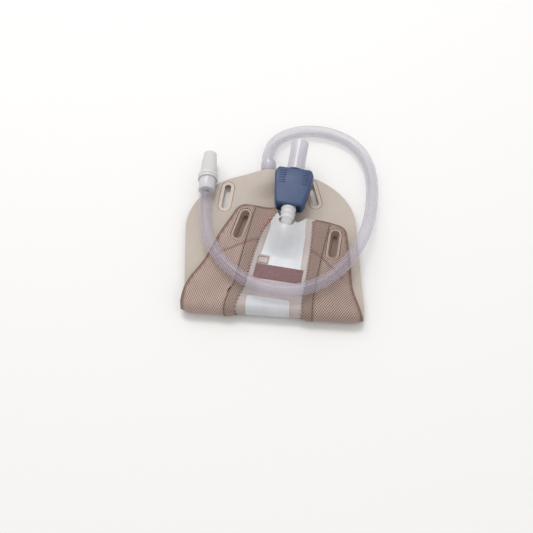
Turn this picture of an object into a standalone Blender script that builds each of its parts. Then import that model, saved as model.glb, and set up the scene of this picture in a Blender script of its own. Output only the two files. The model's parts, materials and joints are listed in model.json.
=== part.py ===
"""A leg bag for urine, folded once across, with its inlet tube looped over the top.

Metres, +Z up, +Y from the fold to the drain valve. The bag is a stack of flat
sheets. Each sheet is cut in a flat pattern: t runs across the bag, s along it from
the fold to the drain valve (minus s to the inlet), and n outward through the stack.
The pattern is then laid on the table and folded: its axis leans over the fold line,
and the drain half swings a little further round.
"""

import math

import bmesh
import bpy
from mathutils import Matrix, Vector

MM = 0.001

# The bag's outline in the flat pattern
BAG_WIDTH = 109.5 * MM
INLET_LENGTH = 105.5 * MM
DRAIN_LENGTH = 72.5 * MM
SHOULDER_LENGTH = 34 * MM
WAIST_WIDTH = 84 * MM
WAIST_PLACE = 48 * MM
DRAIN_EDGE_WIDTH = 60 * MM
DRAIN_CORNER = 9 * MM

# How the pattern lies: lean over the fold line, swing of the drain half, slip in the fold
AXIS_LEAN = math.radians(5.9)
DRAIN_SWING = math.radians(5.3)
FOLD_SLIP = 3.5 * MM
FOLD_RUN = 13 * MM

# The sheets
FABRIC_THICKNESS = 0.6 * MM
HEM_EXTRA = 0.4 * MM
FILM_THICKNESS = 0.4 * MM
FLEECE_THICKNESS = 1.2 * MM
SHEET_GAP = 0.3 * MM
WELD_GAP = 0.3 * MM
CHAMBER_GAP = 1.5 * MM
FOLD_GAP = 1.0 * MM
WELD_WIDTH = 6 * MM

# The window strip between the two fabric panels, with pinked edges and hems
WINDOW_WIDTH = 36.5 * MM
WINDOW_DRAIN_WIDTH = 27 * MM
WINDOW_TAPER_START = 20 * MM
PINK_PITCH = 3.0 * MM
PINK_DEPTH = 1.5 * MM
HEM_LINE = 25.3 * MM
HEM_STEP = 0.4 * MM

# The strap slots, two at each end, and their welded rims
SLOT_LENGTH = 20 * MM
SLOT_WIDTH = 5.4 * MM
RIM_WIDTH = 1.4 * MM
RIM_CLEARANCE = 0.4 * MM
DRAIN_SLOT_SPREAD = DRAIN_EDGE_WIDTH
DRAIN_SLOT_PLACE = 56.5 * MM
DRAIN_SLOT_TILT = math.radians(4.3)
INLET_SLOT_SPREAD = 57 * MM
INLET_SLOT_PLACE = 88.5 * MM
INLET_SLOT_TILT = math.radians(10)

# The drain: stem, sliding sleeve and outlet hose, on one axis
STEM_RADIUS = 4.5 * MM
STEM_BORE = 1.8 * MM
STEM_INNER_PLACE = 57 * MM
STEM_RING_RADIUS = 4.9 * MM
STEM_RING_PLACE = 8.6 * MM
STEM_RING_PITCH = 3.4 * MM
STEM_RINGS = 3
DRAIN_OFFSET = -2.6 * MM
DRAIN_TWIST = math.radians(-4.6)
DRAIN_PITCH = math.radians(4.5)
DRAIN_RECESS = 8.4 * MM
DRAIN_RECESS_WIDTH = 22 * MM
SLEEVE_START = 18.4 * MM
SLEEVE_LENGTH = 25 * MM
SLEEVE_NECK_WIDTH = 14 * MM
SLEEVE_EAR_WIDTH = 25 * MM
SLEEVE_THICKNESS = 11 * MM
SLEEVE_CLEARANCE = 0.3 * MM
SLEEVE_TRAVEL = 5 * MM
SLEEVE_CHAMBER_RADIUS = 4.5 * MM
SPIGOT_RADIUS = 4.1 * MM
SPIGOT_LENGTH = 12 * MM
SPIGOT_BORE = 2.8 * MM
HOSE_WALL = 1.3 * MM
HOSE_LENGTH = 22 * MM
HOSE_CLEARANCE = 0.3 * MM

# The stem's tip inside the sleeve, from its shoulder outward: seal, stop ring, cross hole, seal
TIP_RADIUS = 3.4 * MM
SEAL_WIRE = 0.7 * MM
SEAL_CLEARANCE = 0.2 * MM
SEAL_ROOM = 1.6 * MM
STOP_RADIUS = 3.95 * MM
STOP_WIDTH = 1.2 * MM
CROSS_HOLE_RADIUS = 1.2 * MM
FIRST_SEAL_PLACE = SLEEVE_START + SLEEVE_TRAVEL + SEAL_ROOM
SLEEVE_CHAMBER_START = FIRST_SEAL_PLACE + SEAL_ROOM - SLEEVE_START
STOP_PLACE = SLEEVE_START + SLEEVE_CHAMBER_START + SLEEVE_TRAVEL + SLEEVE_CLEARANCE + STOP_WIDTH / 2
CROSS_HOLE_PLACE = STOP_PLACE + STOP_WIDTH / 2 + SEAL_CLEARANCE + CROSS_HOLE_RADIUS
SECOND_SEAL_PLACE = CROSS_HOLE_PLACE + CROSS_HOLE_RADIUS + SEAL_ROOM
STEM_LENGTH = SECOND_SEAL_PLACE + SEAL_ROOM

# The inlet: moulded port, flutter valve, tube, connector and cap
TUBE_RADIUS = 3.9 * MM
PORT_BOAT_WIDTH = 18 * MM
PORT_BOAT_THICKNESS = 6.4 * MM
PORT_BOAT_LENGTH = 7 * MM
PORT_COLLAR_RADIUS = 5.0 * MM
PORT_COLLAR_LENGTH = 9 * MM
PORT_BORE = 2.3 * MM
PORT_SPOUT_RADIUS = 2.9 * MM
PORT_SPOUT_LENGTH = 2 * MM
FLUTTER_WIDTH = 24 * MM
FLUTTER_LENGTH = 22 * MM
FLUTTER_THICKNESS = 0.3 * MM
END_GAP = 0.3 * MM
CONNECTOR_BARREL_RADIUS = 5.4 * MM
CONNECTOR_BARREL_LENGTH = 9 * MM
CONNECTOR_FLANGE_RADIUS = 6.4 * MM
CONNECTOR_FLANGE_LENGTH = 2 * MM
CONNECTOR_STEP_RADIUS = 4.3 * MM
CONNECTOR_STEP_DROP = 0.55 * MM
CONNECTOR_STEP_LENGTH = 6 * MM
CONNECTOR_STEPS = 3
CONNECTOR_BORE = 2.2 * MM
CAP_WALL = 1.0 * MM
CAP_CLEARANCE = 0.3 * MM
CAP_END_ROOM = 1.5 * MM

# The tube's route: x and y from the middle of the fold, z above the table
TUBE_ROUTE_MM = [
    (-11.1, 119.5, 4.9),
    (-7.5, 130.4, 4.5),
    (0.7, 138.1, 4.3),
    (11.3, 142.2, 4.2),
    (22.7, 142.9, 4.2),
    (34.0, 140.6, 4.2),
    (44.1, 135.3, 4.2),
    (52.0, 127.1, 4.2),
    (57.0, 116.8, 4.2),
    (59.3, 105.6, 4.4),
    (59.7, 94.3, 5.2),
    (59.1, 82.9, 6.5),
    (57.6, 71.7, 8.6),
    (55.1, 60.7, 11.0),
    (51.2, 50.0, 14.0),
    (46.1, 39.9, 15.1),
    (39.6, 30.7, 15.5),
    (31.3, 22.8, 15.7),
    (21.3, 17.1, 15.7),
    (10.4, 14.3, 15.7),
    (-1.1, 14.4, 15.7),
    (-12.1, 17.4, 15.7),
    (-22.3, 22.8, 15.7),
    (-31.0, 30.2, 15.6),
    (-38.1, 39.2, 15.2),
    (-43.1, 49.3, 14.1),
    (-46.2, 60.3, 12.6),
    (-47.8, 71.6, 11.6),
    (-48.3, 84.0, 11.3),
]
ROUTE_STEPS = 2
CONNECTOR_FALL = math.radians(5)

SIDES = 24
GRID_STEP = 14 * MM

SOFT_STACK = FOLD_GAP / 2 + FLEECE_THICKNESS + SHEET_GAP
BACK_FILM_LEVEL = SOFT_STACK + FILM_THICKNESS / 2
FRONT_FILM_LEVEL = BACK_FILM_LEVEL + FILM_THICKNESS
FABRIC_ABOVE_FILM = FILM_THICKNESS / 2 + SHEET_GAP + FABRIC_THICKNESS / 2
TABLE_LEVEL = FRONT_FILM_LEVEL + CHAMBER_GAP + FABRIC_ABOVE_FILM + FABRIC_THICKNESS / 2 + HEM_EXTRA
DRAIN_LEVEL = BACK_FILM_LEVEL + FILM_THICKNESS / 2 + SHEET_GAP + STEM_RING_RADIUS
DRAIN_BULGE = 2 * STEM_RING_RADIUS + 2 * SHEET_GAP - CHAMBER_GAP + 0.5 * MM
PORT_LEVEL = FRONT_FILM_LEVEL + CHAMBER_GAP - FILM_THICKNESS / 2 - SHEET_GAP - PORT_BOAT_THICKNESS / 2
PORT_RISE = PORT_BOAT_THICKNESS + 2 * SHEET_GAP - CHAMBER_GAP + 0.4 * MM


def smooth_step(value, start, end):
    """0 before start and 1 past end, easing between them."""
    share = min(max((value - start) / (end - start), 0), 1)
    return share * share * (3 - 2 * share)


def collection(name, hidden=False):
    made = bpy.data.collections.new(name)
    made.hide_render = hidden
    bpy.context.scene.collection.children.link(made)
    return made


def material(name, colour, roughness, alpha=1.0):
    made = bpy.data.materials.new(name)
    made.use_nodes = True
    shader = made.node_tree.nodes["Principled BSDF"]
    shader.inputs["Base Color"].default_value = (*colour, 1)
    shader.inputs["Roughness"].default_value = roughness
    shader.inputs["Metallic"].default_value = 0
    shader.inputs["Alpha"].default_value = alpha
    return made


def smooth_line(points, steps):
    """Points along the smooth curve through the given points."""
    ends = [points[0] * 2 - points[1], *points, points[-1] * 2 - points[-2]]
    line = []
    for before, start, end, after in zip(ends, ends[1:], ends[2:], ends[3:]):
        for step in range(steps):
            f = step / steps
            line.append(
                0.5
                * (
                    2 * start
                    + (end - before) * f
                    + (2 * before - 5 * start + 4 * end - after) * f**2
                    + (3 * start - before - 3 * end + after) * f**3
                )
            )
    return [*line, points[-1]]


def half_outline():
    """The right half of the bag's outline, as (t, s), from the inlet edge's middle to the drain edge's."""
    side, waist, edge = BAG_WIDTH / 2, WAIST_WIDTH / 2, DRAIN_EDGE_WIDTH / 2
    low, high = -INLET_LENGTH, DRAIN_LENGTH
    shoulder = low + SHOULDER_LENGTH
    corner = edge + DRAIN_CORNER / 2
    route = [
        (0, low),
        (side * 0.28, low + 1 * MM),
        (side * 0.52, low + 4 * MM),
        (side * 0.72, low + SHOULDER_LENGTH * 0.32),
        (side * 0.89, low + SHOULDER_LENGTH * 0.62),
        (side * 0.985, shoulder - 1 * MM),
        (side, shoulder + 12 * MM),
        (side, -20 * MM),
        (side + 0.6 * MM, 0),
        (side - 1.2 * MM, WAIST_PLACE * 0.28),
        (side - (side - waist) * 0.62, WAIST_PLACE * 0.6),
        (waist + 0.4 * MM, WAIST_PLACE),
        (corner + 3.6 * MM, high - DRAIN_CORNER * 1.25),
        (corner + 1.6 * MM, high - DRAIN_CORNER * 0.55),
        (corner - 2.6 * MM, high - DRAIN_CORNER * 0.12),
        (edge * 0.78, high),
        (DRAIN_RECESS_WIDTH / 2 + 3 * MM, high - DRAIN_RECESS * 0.06),
        (DRAIN_RECESS_WIDTH / 2, high - DRAIN_RECESS * 0.42),
        (DRAIN_RECESS_WIDTH / 2 - 2.4 * MM, high - DRAIN_RECESS * 0.88),
        (DRAIN_RECESS_WIDTH / 4, high - DRAIN_RECESS),
        (0, high - DRAIN_RECESS),
    ]
    return [tuple(p) for p in smooth_line([Vector(p) for p in route], 3)]


def window_half_width(s):
    """From the bag's axis to the middle of the pinked edge."""
    share = max(s - WINDOW_TAPER_START, 0) / (DRAIN_LENGTH - WINDOW_TAPER_START)
    return WINDOW_WIDTH / 2 - (WINDOW_WIDTH - WINDOW_DRAIN_WIDTH) / 2 * share**2


def pinked_edge(start, end):
    """Zigzag points along one window edge, as (t, s), from s = start to end."""
    teeth = round((end - start) / PINK_PITCH)
    return [
        (window_half_width(s) + PINK_DEPTH / 2 * (1 if i % 2 else -1), s)
        for i in range(2 * teeth + 1)
        for s in [start + (end - start) * i / (2 * teeth)]
    ]


def edge_distance(t, s):
    """How far a place in the flat pattern is from the bag's outline."""
    point = Vector((abs(t), s))
    corners = [Vector(corner) for corner in OUTLINE]
    return min(
        (point - a - (b - a) * along(point, a, b)).length for a, b in zip(corners, corners[1:])
    )


def along(point, a, b):
    """The share of the way from a to b that is nearest to the point."""
    return min(max((point - a).dot(b - a) / (b - a).length_squared, 0), 1)


def drain_axis_t(s):
    """The drain's axis in the flat pattern."""
    return DRAIN_OFFSET + math.tan(DRAIN_TWIST) * (s - STEM_INNER_PLACE - STEM_RING_PLACE)


def chamber(t, s):
    """The gap between the two films: the least at the welds, and wide where the stem lies."""
    open_share = max(smooth_step(edge_distance(t, s), 0, WELD_WIDTH), min(4 * port_share(t, s), 1))
    room = WELD_GAP + (CHAMBER_GAP - WELD_GAP) * open_share
    start = STEM_INNER_PLACE - SHEET_GAP
    across = (t - drain_axis_t(s)) / (1.75 * STEM_RING_RADIUS)
    climb = math.tan(DRAIN_PITCH) * max(s - start, 0)
    bulge = (DRAIN_BULGE + climb + CHAMBER_GAP - room) * smooth_step(s, start - 18 * MM, start)
    return room + bulge * math.exp(-across * across)


def port_share(t, s):
    """1 at the inlet port, easing to 0 away from it."""
    start = INLET_LENGTH - PORT_BOAT_LENGTH - PORT_SPOUT_LENGTH
    across = t / (0.66 * PORT_BOAT_WIDTH)
    return smooth_step(-s, start - 12 * MM, start) * math.exp(-across * across)


def inlet_rise(t, s):
    """How far the back film and the fleece lift over the inlet port."""
    return PORT_RISE * port_share(t, s)


def fleece_level(t, s):
    return FOLD_GAP / 2 + FLEECE_THICKNESS / 2 - inlet_rise(t, s)


def back_film_level(t, s):
    return BACK_FILM_LEVEL - inlet_rise(t, s)


def front_film_level(t, s):
    return FRONT_FILM_LEVEL + chamber(t, s)


def fabric_level(t, s):
    return front_film_level(t, s) + FABRIC_ABOVE_FILM


def heading(s):
    """Which way the bag's axis points at s, turned from the fold's normal."""
    return AXIS_LEAN + DRAIN_SWING * max(s, 0) / DRAIN_LENGTH


def lay(t, s):
    """A place in the flat pattern, laid on the table unfolded with the fold line at y = 0."""
    turn = heading(s)
    if s < 0:
        x, y = s * math.sin(turn), s * math.cos(turn)
    else:
        bend = DRAIN_SWING / DRAIN_LENGTH
        x = (math.cos(AXIS_LEAN) - math.cos(turn)) / bend
        y = (math.sin(turn) - math.sin(AXIS_LEAN)) / bend
    x, y = x + t * math.cos(turn), y - t * math.sin(turn)
    return x - FOLD_SLIP / 2 * math.tanh(y / (10 * MM)), y


def fold_over(x, y, n):
    """A laid place, with the inlet half turned under: n is the distance from the fold's middle plane."""
    centre = TABLE_LEVEL
    arc = math.pi * n / 2
    run = arc + FOLD_RUN - centre
    side = 1 if y >= 0 else -1
    travel = abs(y) if abs(y) > FOLD_RUN else abs(y) / FOLD_RUN * run
    if abs(y) > FOLD_RUN:
        return Vector((x, abs(y), TABLE_LEVEL + side * n))
    if travel > arc:
        return Vector((x, centre + travel - arc, TABLE_LEVEL + side * n))
    angle = travel / n
    return Vector((x, centre - n * math.cos(angle), TABLE_LEVEL + side * n * math.sin(angle)))


def folded(t, s, n):
    return fold_over(*lay(t, s), n)


def mesh_object(name, mesh, where, made_of=None):
    made = bpy.data.objects.new(name, mesh)
    where.objects.link(made)
    if made_of:
        mesh.materials.append(made_of)
    return made


def prism(name, outline, depth, where):
    """A closed prism over a flat outline, centred on z = 0, as a mesh object."""
    build = bmesh.new()
    loop = [build.verts.new((x, y, -depth / 2)) for x, y in outline]
    bottom = build.faces.new(loop)
    raised = bmesh.ops.extrude_face_region(build, geom=[bottom])
    top = [v for v in raised["geom"] if isinstance(v, bmesh.types.BMVert)]
    bmesh.ops.translate(build, verts=top, vec=(0, 0, depth))
    bmesh.ops.recalc_face_normals(build, faces=build.faces)
    mesh = bpy.data.meshes.new(name)
    build.to_mesh(mesh)
    build.free()
    return mesh_object(name, mesh, where)


def grid_slab(name, columns, rows, thickness, where):
    """A closed slab with a grid of faces whose lines lie at the given places."""
    build = bmesh.new()
    bmesh.ops.create_grid(build, x_segments=len(columns) - 1, y_segments=len(rows) - 1, size=0.5)
    for vert in build.verts:
        column = round((vert.co.x + 0.5) * (len(columns) - 1))
        row = round((vert.co.y + 0.5) * (len(rows) - 1))
        vert.co = (columns[column], rows[row], -thickness / 2)
    raised = bmesh.ops.extrude_face_region(build, geom=build.faces[:])
    top = [v for v in raised["geom"] if isinstance(v, bmesh.types.BMVert)]
    bmesh.ops.translate(build, verts=top, vec=(0, 0, thickness))
    bmesh.ops.recalc_face_normals(build, faces=build.faces)
    mesh = bpy.data.meshes.new(name)
    build.to_mesh(mesh)
    build.free()
    return mesh_object(name, mesh, where)


def boolean(target, cutter, operation):
    step = target.modifiers.new(cutter.name, "BOOLEAN")
    step.operation = operation
    step.solver = "EXACT"
    step.object = cutter
    cutter.hide_render = True
    cutter.display_type = "WIRE"


def baked(source):
    """The object's mesh with its modifiers done, as a bmesh in world space."""
    bpy.context.view_layer.update()
    graph = bpy.context.evaluated_depsgraph_get()
    mesh = bpy.data.meshes.new_from_object(source.evaluated_get(graph))
    mesh.transform(source.matrix_world)
    build = bmesh.new()
    build.from_mesh(mesh)
    bpy.data.meshes.remove(mesh)
    return build


def replace_mesh(target, build):
    target.modifiers.clear()
    made_of = list(target.data.materials)
    mesh = bpy.data.meshes.new(target.name)
    build.to_mesh(mesh)
    build.free()
    old, target.data = target.data, mesh
    bpy.data.meshes.remove(old)
    for one in made_of:
        if one.name not in mesh.materials:
            mesh.materials.append(one)


def fold_mesh(target, level, raise_by=None):
    """Bakes a flat sheet and folds it, with its middle surface at level(t, s)."""
    build = baked(target)
    bmesh.ops.triangulate(build, faces=build.faces[:])
    for vert in build.verts:
        t, s, through = vert.co
        if raise_by and through > 0:
            through += raise_by(t)
        vert.co = folded(t, s, level(t, s) + through)
    replace_mesh(target, build)
    target.data.shade_smooth()
    target.data.set_sharp_from_angle(angle=math.radians(40))


def slot_places():
    """(name, t, s, tilt) of each strap slot; the slots close in on the axis toward the bag's ends."""
    drain, inlet = DRAIN_SLOT_SPREAD / 2, INLET_SLOT_SPREAD / 2
    return [
        ("drain_left", -drain, DRAIN_SLOT_PLACE, -DRAIN_SLOT_TILT),
        ("drain_right", drain, DRAIN_SLOT_PLACE, DRAIN_SLOT_TILT),
        ("inlet_left", -inlet, -INLET_SLOT_PLACE, INLET_SLOT_TILT),
        ("inlet_right", inlet, -INLET_SLOT_PLACE, -INLET_SLOT_TILT),
    ]


def stadium(length, width, t, s, tilt, segments=6):
    """The outline of a slot with round ends, as (t, s)."""
    radius, straight = width / 2, (length - width) / 2
    points = []
    for end in (0, 1):
        for i in range(segments + 1):
            angle = math.pi * (end + i / segments)
            along_slot = straight * (1 - 2 * end) + radius * math.sin(angle)
            across = radius * math.cos(angle)
            points.append(
                (
                    t + across * math.cos(tilt) - along_slot * math.sin(tilt),
                    s + across * math.sin(tilt) + along_slot * math.cos(tilt),
                )
            )
    return points


def rows_of(front):
    """Lines across a sheet: close together at the fold, and where it climbs over the stem or the port."""
    fold = [FOLD_RUN * share for share in (0.1, 0.22, 0.35, 0.5, 0.7, 1)]
    beyond = [FOLD_RUN + GRID_STEP * i for i in range(1, 20)]
    stem = [STEM_INNER_PLACE + offset * MM for offset in (-20, -15, -10.5, -7, -4, -1, 2, 8)]
    port = [INLET_LENGTH - offset * MM for offset in (24, 20, 17, 14, 11, 6)]
    if front:
        drain = [r for r in beyond if r < stem[0] - 3 * MM] + stem
        inlet = [r for r in beyond if r < INLET_LENGTH - 4 * MM]
    else:
        drain = [r for r in beyond if r < DRAIN_LENGTH - 4 * MM]
        inlet = [r for r in beyond if r < port[0] - 3 * MM] + port
    ends = [-INLET_LENGTH - 2 * MM, DRAIN_LENGTH + 2 * MM]
    return sorted([*ends, 0, *fold, *drain, *(-r for r in [*fold, *inlet])])


def columns_of(inner):
    """Lines along the sheet, mirrored about its axis."""
    side = BAG_WIDTH / 2 + 3 * MM
    beyond = [inner[-1] + GRID_STEP * i for i in range(1, 20)]
    rest = [t for t in beyond if t < side - 4 * MM]
    half = [*(t for t in inner if t > 0), *rest, side]
    return sorted([*(-t for t in half), 0, *half])


def cut_sheet(name, front, thickness, made_of):
    """A flat sheet of the bag's outline with its four slots, still flat; front sheets lie over the stem."""
    columns = front_columns() if front else back_columns()
    sheet = grid_slab(name, columns, rows_of(front), thickness, BAG)
    sheet.data.materials.append(made_of)
    mirrored = [(-t, s) for t, s in reversed(OUTLINE[1:-1])]
    boolean(sheet, prism(f"{name}_outline", OUTLINE + mirrored, 4 * thickness, CUTTERS), "INTERSECT")
    room = 2 * (RIM_WIDTH + RIM_CLEARANCE)
    for place, t, s, tilt in slot_places():
        hole = stadium(SLOT_LENGTH + room, SLOT_WIDTH + room, t, s, tilt)
        boolean(sheet, prism(f"{name}_{place}", hole, 4 * thickness, CUTTERS), "DIFFERENCE")
    return sheet


def soft_sheets():
    """The fleece and the two films, across the whole bag."""
    fleece = cut_sheet("back_fleece", False, FLEECE_THICKNESS, MATERIALS["fleece"])
    fold_mesh(fleece, fleece_level)
    back = cut_sheet("back_film", False, FILM_THICKNESS, MATERIALS["film"])
    fold_mesh(back, back_film_level)
    front = cut_sheet("front_film", True, FILM_THICKNESS, MATERIALS["film"])
    fold_mesh(front, front_film_level)


def back_columns():
    """Lines along the back sheets: close together over the port."""
    return columns_of([PORT_BOAT_WIDTH * share for share in (0, 0.17, 0.34, 0.53, 0.78, 1.1)])


def front_columns():
    """Lines along the front sheets: close together over the stem, and a pair at the hem."""
    over_stem = [STEM_RING_RADIUS * share for share in (0, 0.45, 0.9, 1.4, 2.05, 2.85)]
    return columns_of([*over_stem, 18.5 * MM, HEM_LINE, HEM_LINE + HEM_STEP])


def fabric_panels():
    """The two mesh fabric panels on the front, each with a hem and a pinked edge at the window."""
    start, end = -INLET_LENGTH - 4 * MM, DRAIN_LENGTH + 4 * MM
    window = pinked_edge(start, end)
    for name, side in (("fabric_left", -1), ("fabric_right", 1)):
        panel = cut_sheet(name, True, FABRIC_THICKNESS, MATERIALS["fabric"])
        far = side * BAG_WIDTH
        outline = [(side * t, s) for t, s in window] + [(far, end), (far, start)]
        boolean(panel, prism(f"{name}_window", outline, 6 * FABRIC_THICKNESS, CUTTERS), "INTERSECT")
        fold_mesh(panel, fabric_level, lambda t: HEM_EXTRA if abs(t) < HEM_LINE + HEM_STEP / 4 else 0)


def slot_rims():
    """A flat welded ring round each strap slot, flush with the fabric."""
    for place, t, s, tilt in slot_places():
        rim = prism(
            f"slot_rim_{place}",
            stadium(SLOT_LENGTH + 2 * RIM_WIDTH, SLOT_WIDTH + 2 * RIM_WIDTH, t, s, tilt),
            FABRIC_THICKNESS,
            BAG,
        )
        rim.data.materials.append(MATERIALS["rim"])
        hole = stadium(SLOT_LENGTH, SLOT_WIDTH, t, s, tilt)
        boolean(rim, prism(f"{place}_slot", hole, 4 * FABRIC_THICKNESS, CUTTERS), "DIFFERENCE")
        fold_mesh(rim, fabric_level)


def turned(name, profile, where, made_of=None, sides=SIDES):
    """A turned solid about its own Y axis, from a closed profile of (along, radius)."""
    build = bmesh.new()
    loop = [build.verts.new((radius, along_axis, 0)) for along_axis, radius in profile]
    edges = [build.edges.new(pair) for pair in zip(loop, loop[1:])]
    if profile[0][1] > 0 or profile[-1][1] > 0:
        edges.append(build.edges.new((loop[-1], loop[0])))
    bmesh.ops.spin(
        build,
        geom=[*loop, *edges],
        cent=(0, 0, 0),
        axis=(0, 1, 0),
        angle=math.tau,
        steps=sides,
        use_merge=True,
    )
    bmesh.ops.remove_doubles(build, verts=build.verts, dist=1e-6)
    bmesh.ops.recalc_face_normals(build, faces=build.faces)
    mesh = bpy.data.meshes.new(name)
    build.to_mesh(mesh)
    build.free()
    mesh.shade_smooth()
    mesh.set_sharp_from_angle(angle=math.radians(35))
    return mesh_object(name, mesh, where, made_of)


def frame_at(t, s, n, twist=0, pitch=0):
    """The matrix of a rigid piece whose +Y runs out along the bag's axis, with its twist and pitch."""
    origin = folded(t, s, n)
    turn = heading(s) + twist
    lie = Matrix.Rotation(-turn if s > 0 else turn, 4, "Z")
    return Matrix.Translation(origin) @ lie @ Matrix.Rotation(pitch, 4, "X")


def drain_stem():
    """The white stem: a tube with its rings, then a thin closed tip with a stop ring and seal grooves."""
    half_groove = SEAL_WIRE / 2 + SEAL_CLEARANCE
    floor = TIP_RADIUS - SEAL_WIRE - SEAL_CLEARANCE
    shoulder = SLEEVE_START - SLEEVE_CLEARANCE
    profile = [(0, STEM_BORE), (0, STEM_RADIUS)]
    for ring in range(STEM_RINGS):
        start = STEM_RING_PLACE + ring * STEM_RING_PITCH
        profile += [
            (start - 0.9 * MM, STEM_RADIUS),
            (start - 0.5 * MM, STEM_RING_RADIUS),
            (start + 0.5 * MM, STEM_RING_RADIUS),
            (start + 0.9 * MM, STEM_RADIUS),
        ]
    profile += [(shoulder, STEM_RADIUS), (shoulder, TIP_RADIUS)]
    stop = [
        (STOP_PLACE - STOP_WIDTH / 2, TIP_RADIUS),
        (STOP_PLACE - STOP_WIDTH / 2, STOP_RADIUS),
        (STOP_PLACE + STOP_WIDTH / 4, STOP_RADIUS),
        (STOP_PLACE + STOP_WIDTH / 2, TIP_RADIUS),
    ]
    for middle, after in ((FIRST_SEAL_PLACE, stop), (SECOND_SEAL_PLACE, [])):
        profile += [
            (middle - half_groove, TIP_RADIUS),
            (middle - half_groove, floor),
            (middle + half_groove, floor),
            (middle + half_groove, TIP_RADIUS),
            *after,
        ]
    bore_end = SECOND_SEAL_PLACE - SEAL_CLEARANCE
    profile += [
        (STEM_LENGTH - 0.8 * MM, TIP_RADIUS),
        (STEM_LENGTH, TIP_RADIUS - 0.8 * MM),
        (STEM_LENGTH, 0),
        (bore_end, 0),
        (bore_end, STEM_BORE),
    ]
    return profile


def build_drain():
    """Stem, seals, sliding sleeve and hose, all on the drain's axis."""
    start = STEM_INNER_PLACE
    place = frame_at(drain_axis_t(start), start, DRAIN_LEVEL, DRAIN_TWIST, DRAIN_PITCH)
    stem = turned("outlet_stem", drain_stem(), BAG, MATERIALS["white"])
    boolean(stem, drill("stem_cross_hole", CROSS_HOLE_RADIUS, CROSS_HOLE_PLACE), "DIFFERENCE")
    stem.matrix_world = place
    for name, middle in (
        ("stem_seal_inner", FIRST_SEAL_PLACE),
        ("stem_seal_outer", SECOND_SEAL_PLACE),
    ):
        seal = seal_ring(name, middle)
        seal.matrix_world = place
    sleeve = drain_sleeve()
    sleeve.matrix_world = place @ Matrix.Translation((0, SLEEVE_START, 0))
    hose = outlet_hose()
    hose.matrix_world = place @ Matrix.Translation((0, SLEEVE_START + SLEEVE_LENGTH, 0))


def drill(name, radius, along_axis):
    """A round cutter lying across the drain's axis."""
    build = bmesh.new()
    turn = Matrix.Translation((0, along_axis, 0)) @ Matrix.Rotation(math.pi / 2, 4, "Y")
    bmesh.ops.create_cone(
        build,
        cap_ends=True,
        segments=12,
        radius1=radius,
        radius2=radius,
        depth=4 * STEM_RADIUS,
        matrix=turn,
    )
    mesh = bpy.data.meshes.new(name)
    build.to_mesh(mesh)
    build.free()
    return mesh_object(name, mesh, CUTTERS)


def seal_ring(name, middle):
    """A rubber ring in its groove, nearly reaching the sleeve's bore."""
    centre = TIP_RADIUS - SEAL_WIRE / 2 + SEAL_CLEARANCE / 2
    ring = [
        (
            middle + SEAL_WIRE / 2 * math.sin(angle),
            centre + SEAL_WIRE / 2 * math.cos(angle),
        )
        for angle in (math.tau * i / 6 for i in range(6))
    ]
    return turned(name, ring, BAG, MATERIALS["seal"], sides=18)


def drain_sleeve():
    """The blue sleeve: a flat body with two finger ears, bored for the stem, and a spigot for the hose."""
    neck, ear, length = SLEEVE_NECK_WIDTH / 2, SLEEVE_EAR_WIDTH / 2, SLEEVE_LENGTH
    route = [
        (neck - 1 * MM, 0),
        (neck, 1.2 * MM),
        (neck + 1.8 * MM, length * 0.2),
        (neck + 4.0 * MM, length * 0.42),
        (ear - 0.6 * MM, length * 0.64),
        (ear, length * 0.84),
        (ear - 2 * MM, length),
    ]
    half = [tuple(p) for p in smooth_line([Vector(p) for p in route], 2)]
    outline = half + [(-x, y) for x, y in reversed(half)]
    sleeve = prism("drain_sleeve", outline, SLEEVE_THICKNESS, BAG)
    sleeve.data.materials.append(MATERIALS["blue"])
    round_off = sleeve.modifiers.new("edges", "BEVEL")
    round_off.width = 2.2 * MM
    round_off.segments = 3
    round_off.limit_method = "ANGLE"
    round_off.angle_limit = math.radians(50)
    spigot = turned(
        "sleeve_spigot",
        [
            (length - 3 * MM, 0),
            (length - 3 * MM, SPIGOT_RADIUS),
            (length + SPIGOT_LENGTH - 1 * MM, SPIGOT_RADIUS),
            (length + SPIGOT_LENGTH, SPIGOT_RADIUS - 0.6 * MM),
            (length + SPIGOT_LENGTH, 0),
        ],
        CUTTERS,
    )
    boolean(sleeve, spigot, "UNION")
    bore = TIP_RADIUS + SLEEVE_CLEARANCE
    bore_end = STEM_LENGTH - SLEEVE_START + SLEEVE_CLEARANCE
    chamber_end = SECOND_SEAL_PLACE - SLEEVE_START - SEAL_ROOM
    cut = turned(
        "sleeve_bore",
        [
            (-2 * MM, 0),
            (-2 * MM, bore),
            (SLEEVE_CHAMBER_START, bore),
            (SLEEVE_CHAMBER_START, SLEEVE_CHAMBER_RADIUS),
            (chamber_end - 0.4 * MM, SLEEVE_CHAMBER_RADIUS),
            (chamber_end, bore),
            (bore_end, bore),
            (bore_end + 1.5 * MM, SPIGOT_BORE),
            (length + SPIGOT_LENGTH + 2 * MM, SPIGOT_BORE),
            (length + SPIGOT_LENGTH + 2 * MM, 0),
        ],
        CUTTERS,
    )
    boolean(sleeve, cut, "DIFFERENCE")
    build = baked(sleeve)
    replace_mesh(sleeve, build)
    sleeve.data.shade_smooth()
    sleeve.data.set_sharp_from_angle(angle=math.radians(35))
    return sleeve


def outlet_hose():
    """The soft hose pushed over the sleeve's spigot."""
    inner = SPIGOT_RADIUS + HOSE_CLEARANCE
    outer = inner + HOSE_WALL
    start = END_GAP
    profile = [
        (start, inner),
        (start, outer),
        (start + HOSE_LENGTH - 0.4 * MM, outer),
        (start + HOSE_LENGTH, outer - 0.4 * MM),
        (start + HOSE_LENGTH, inner),
    ]
    return turned("outlet_hose", profile, BAG, MATERIALS["tube"])


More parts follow.
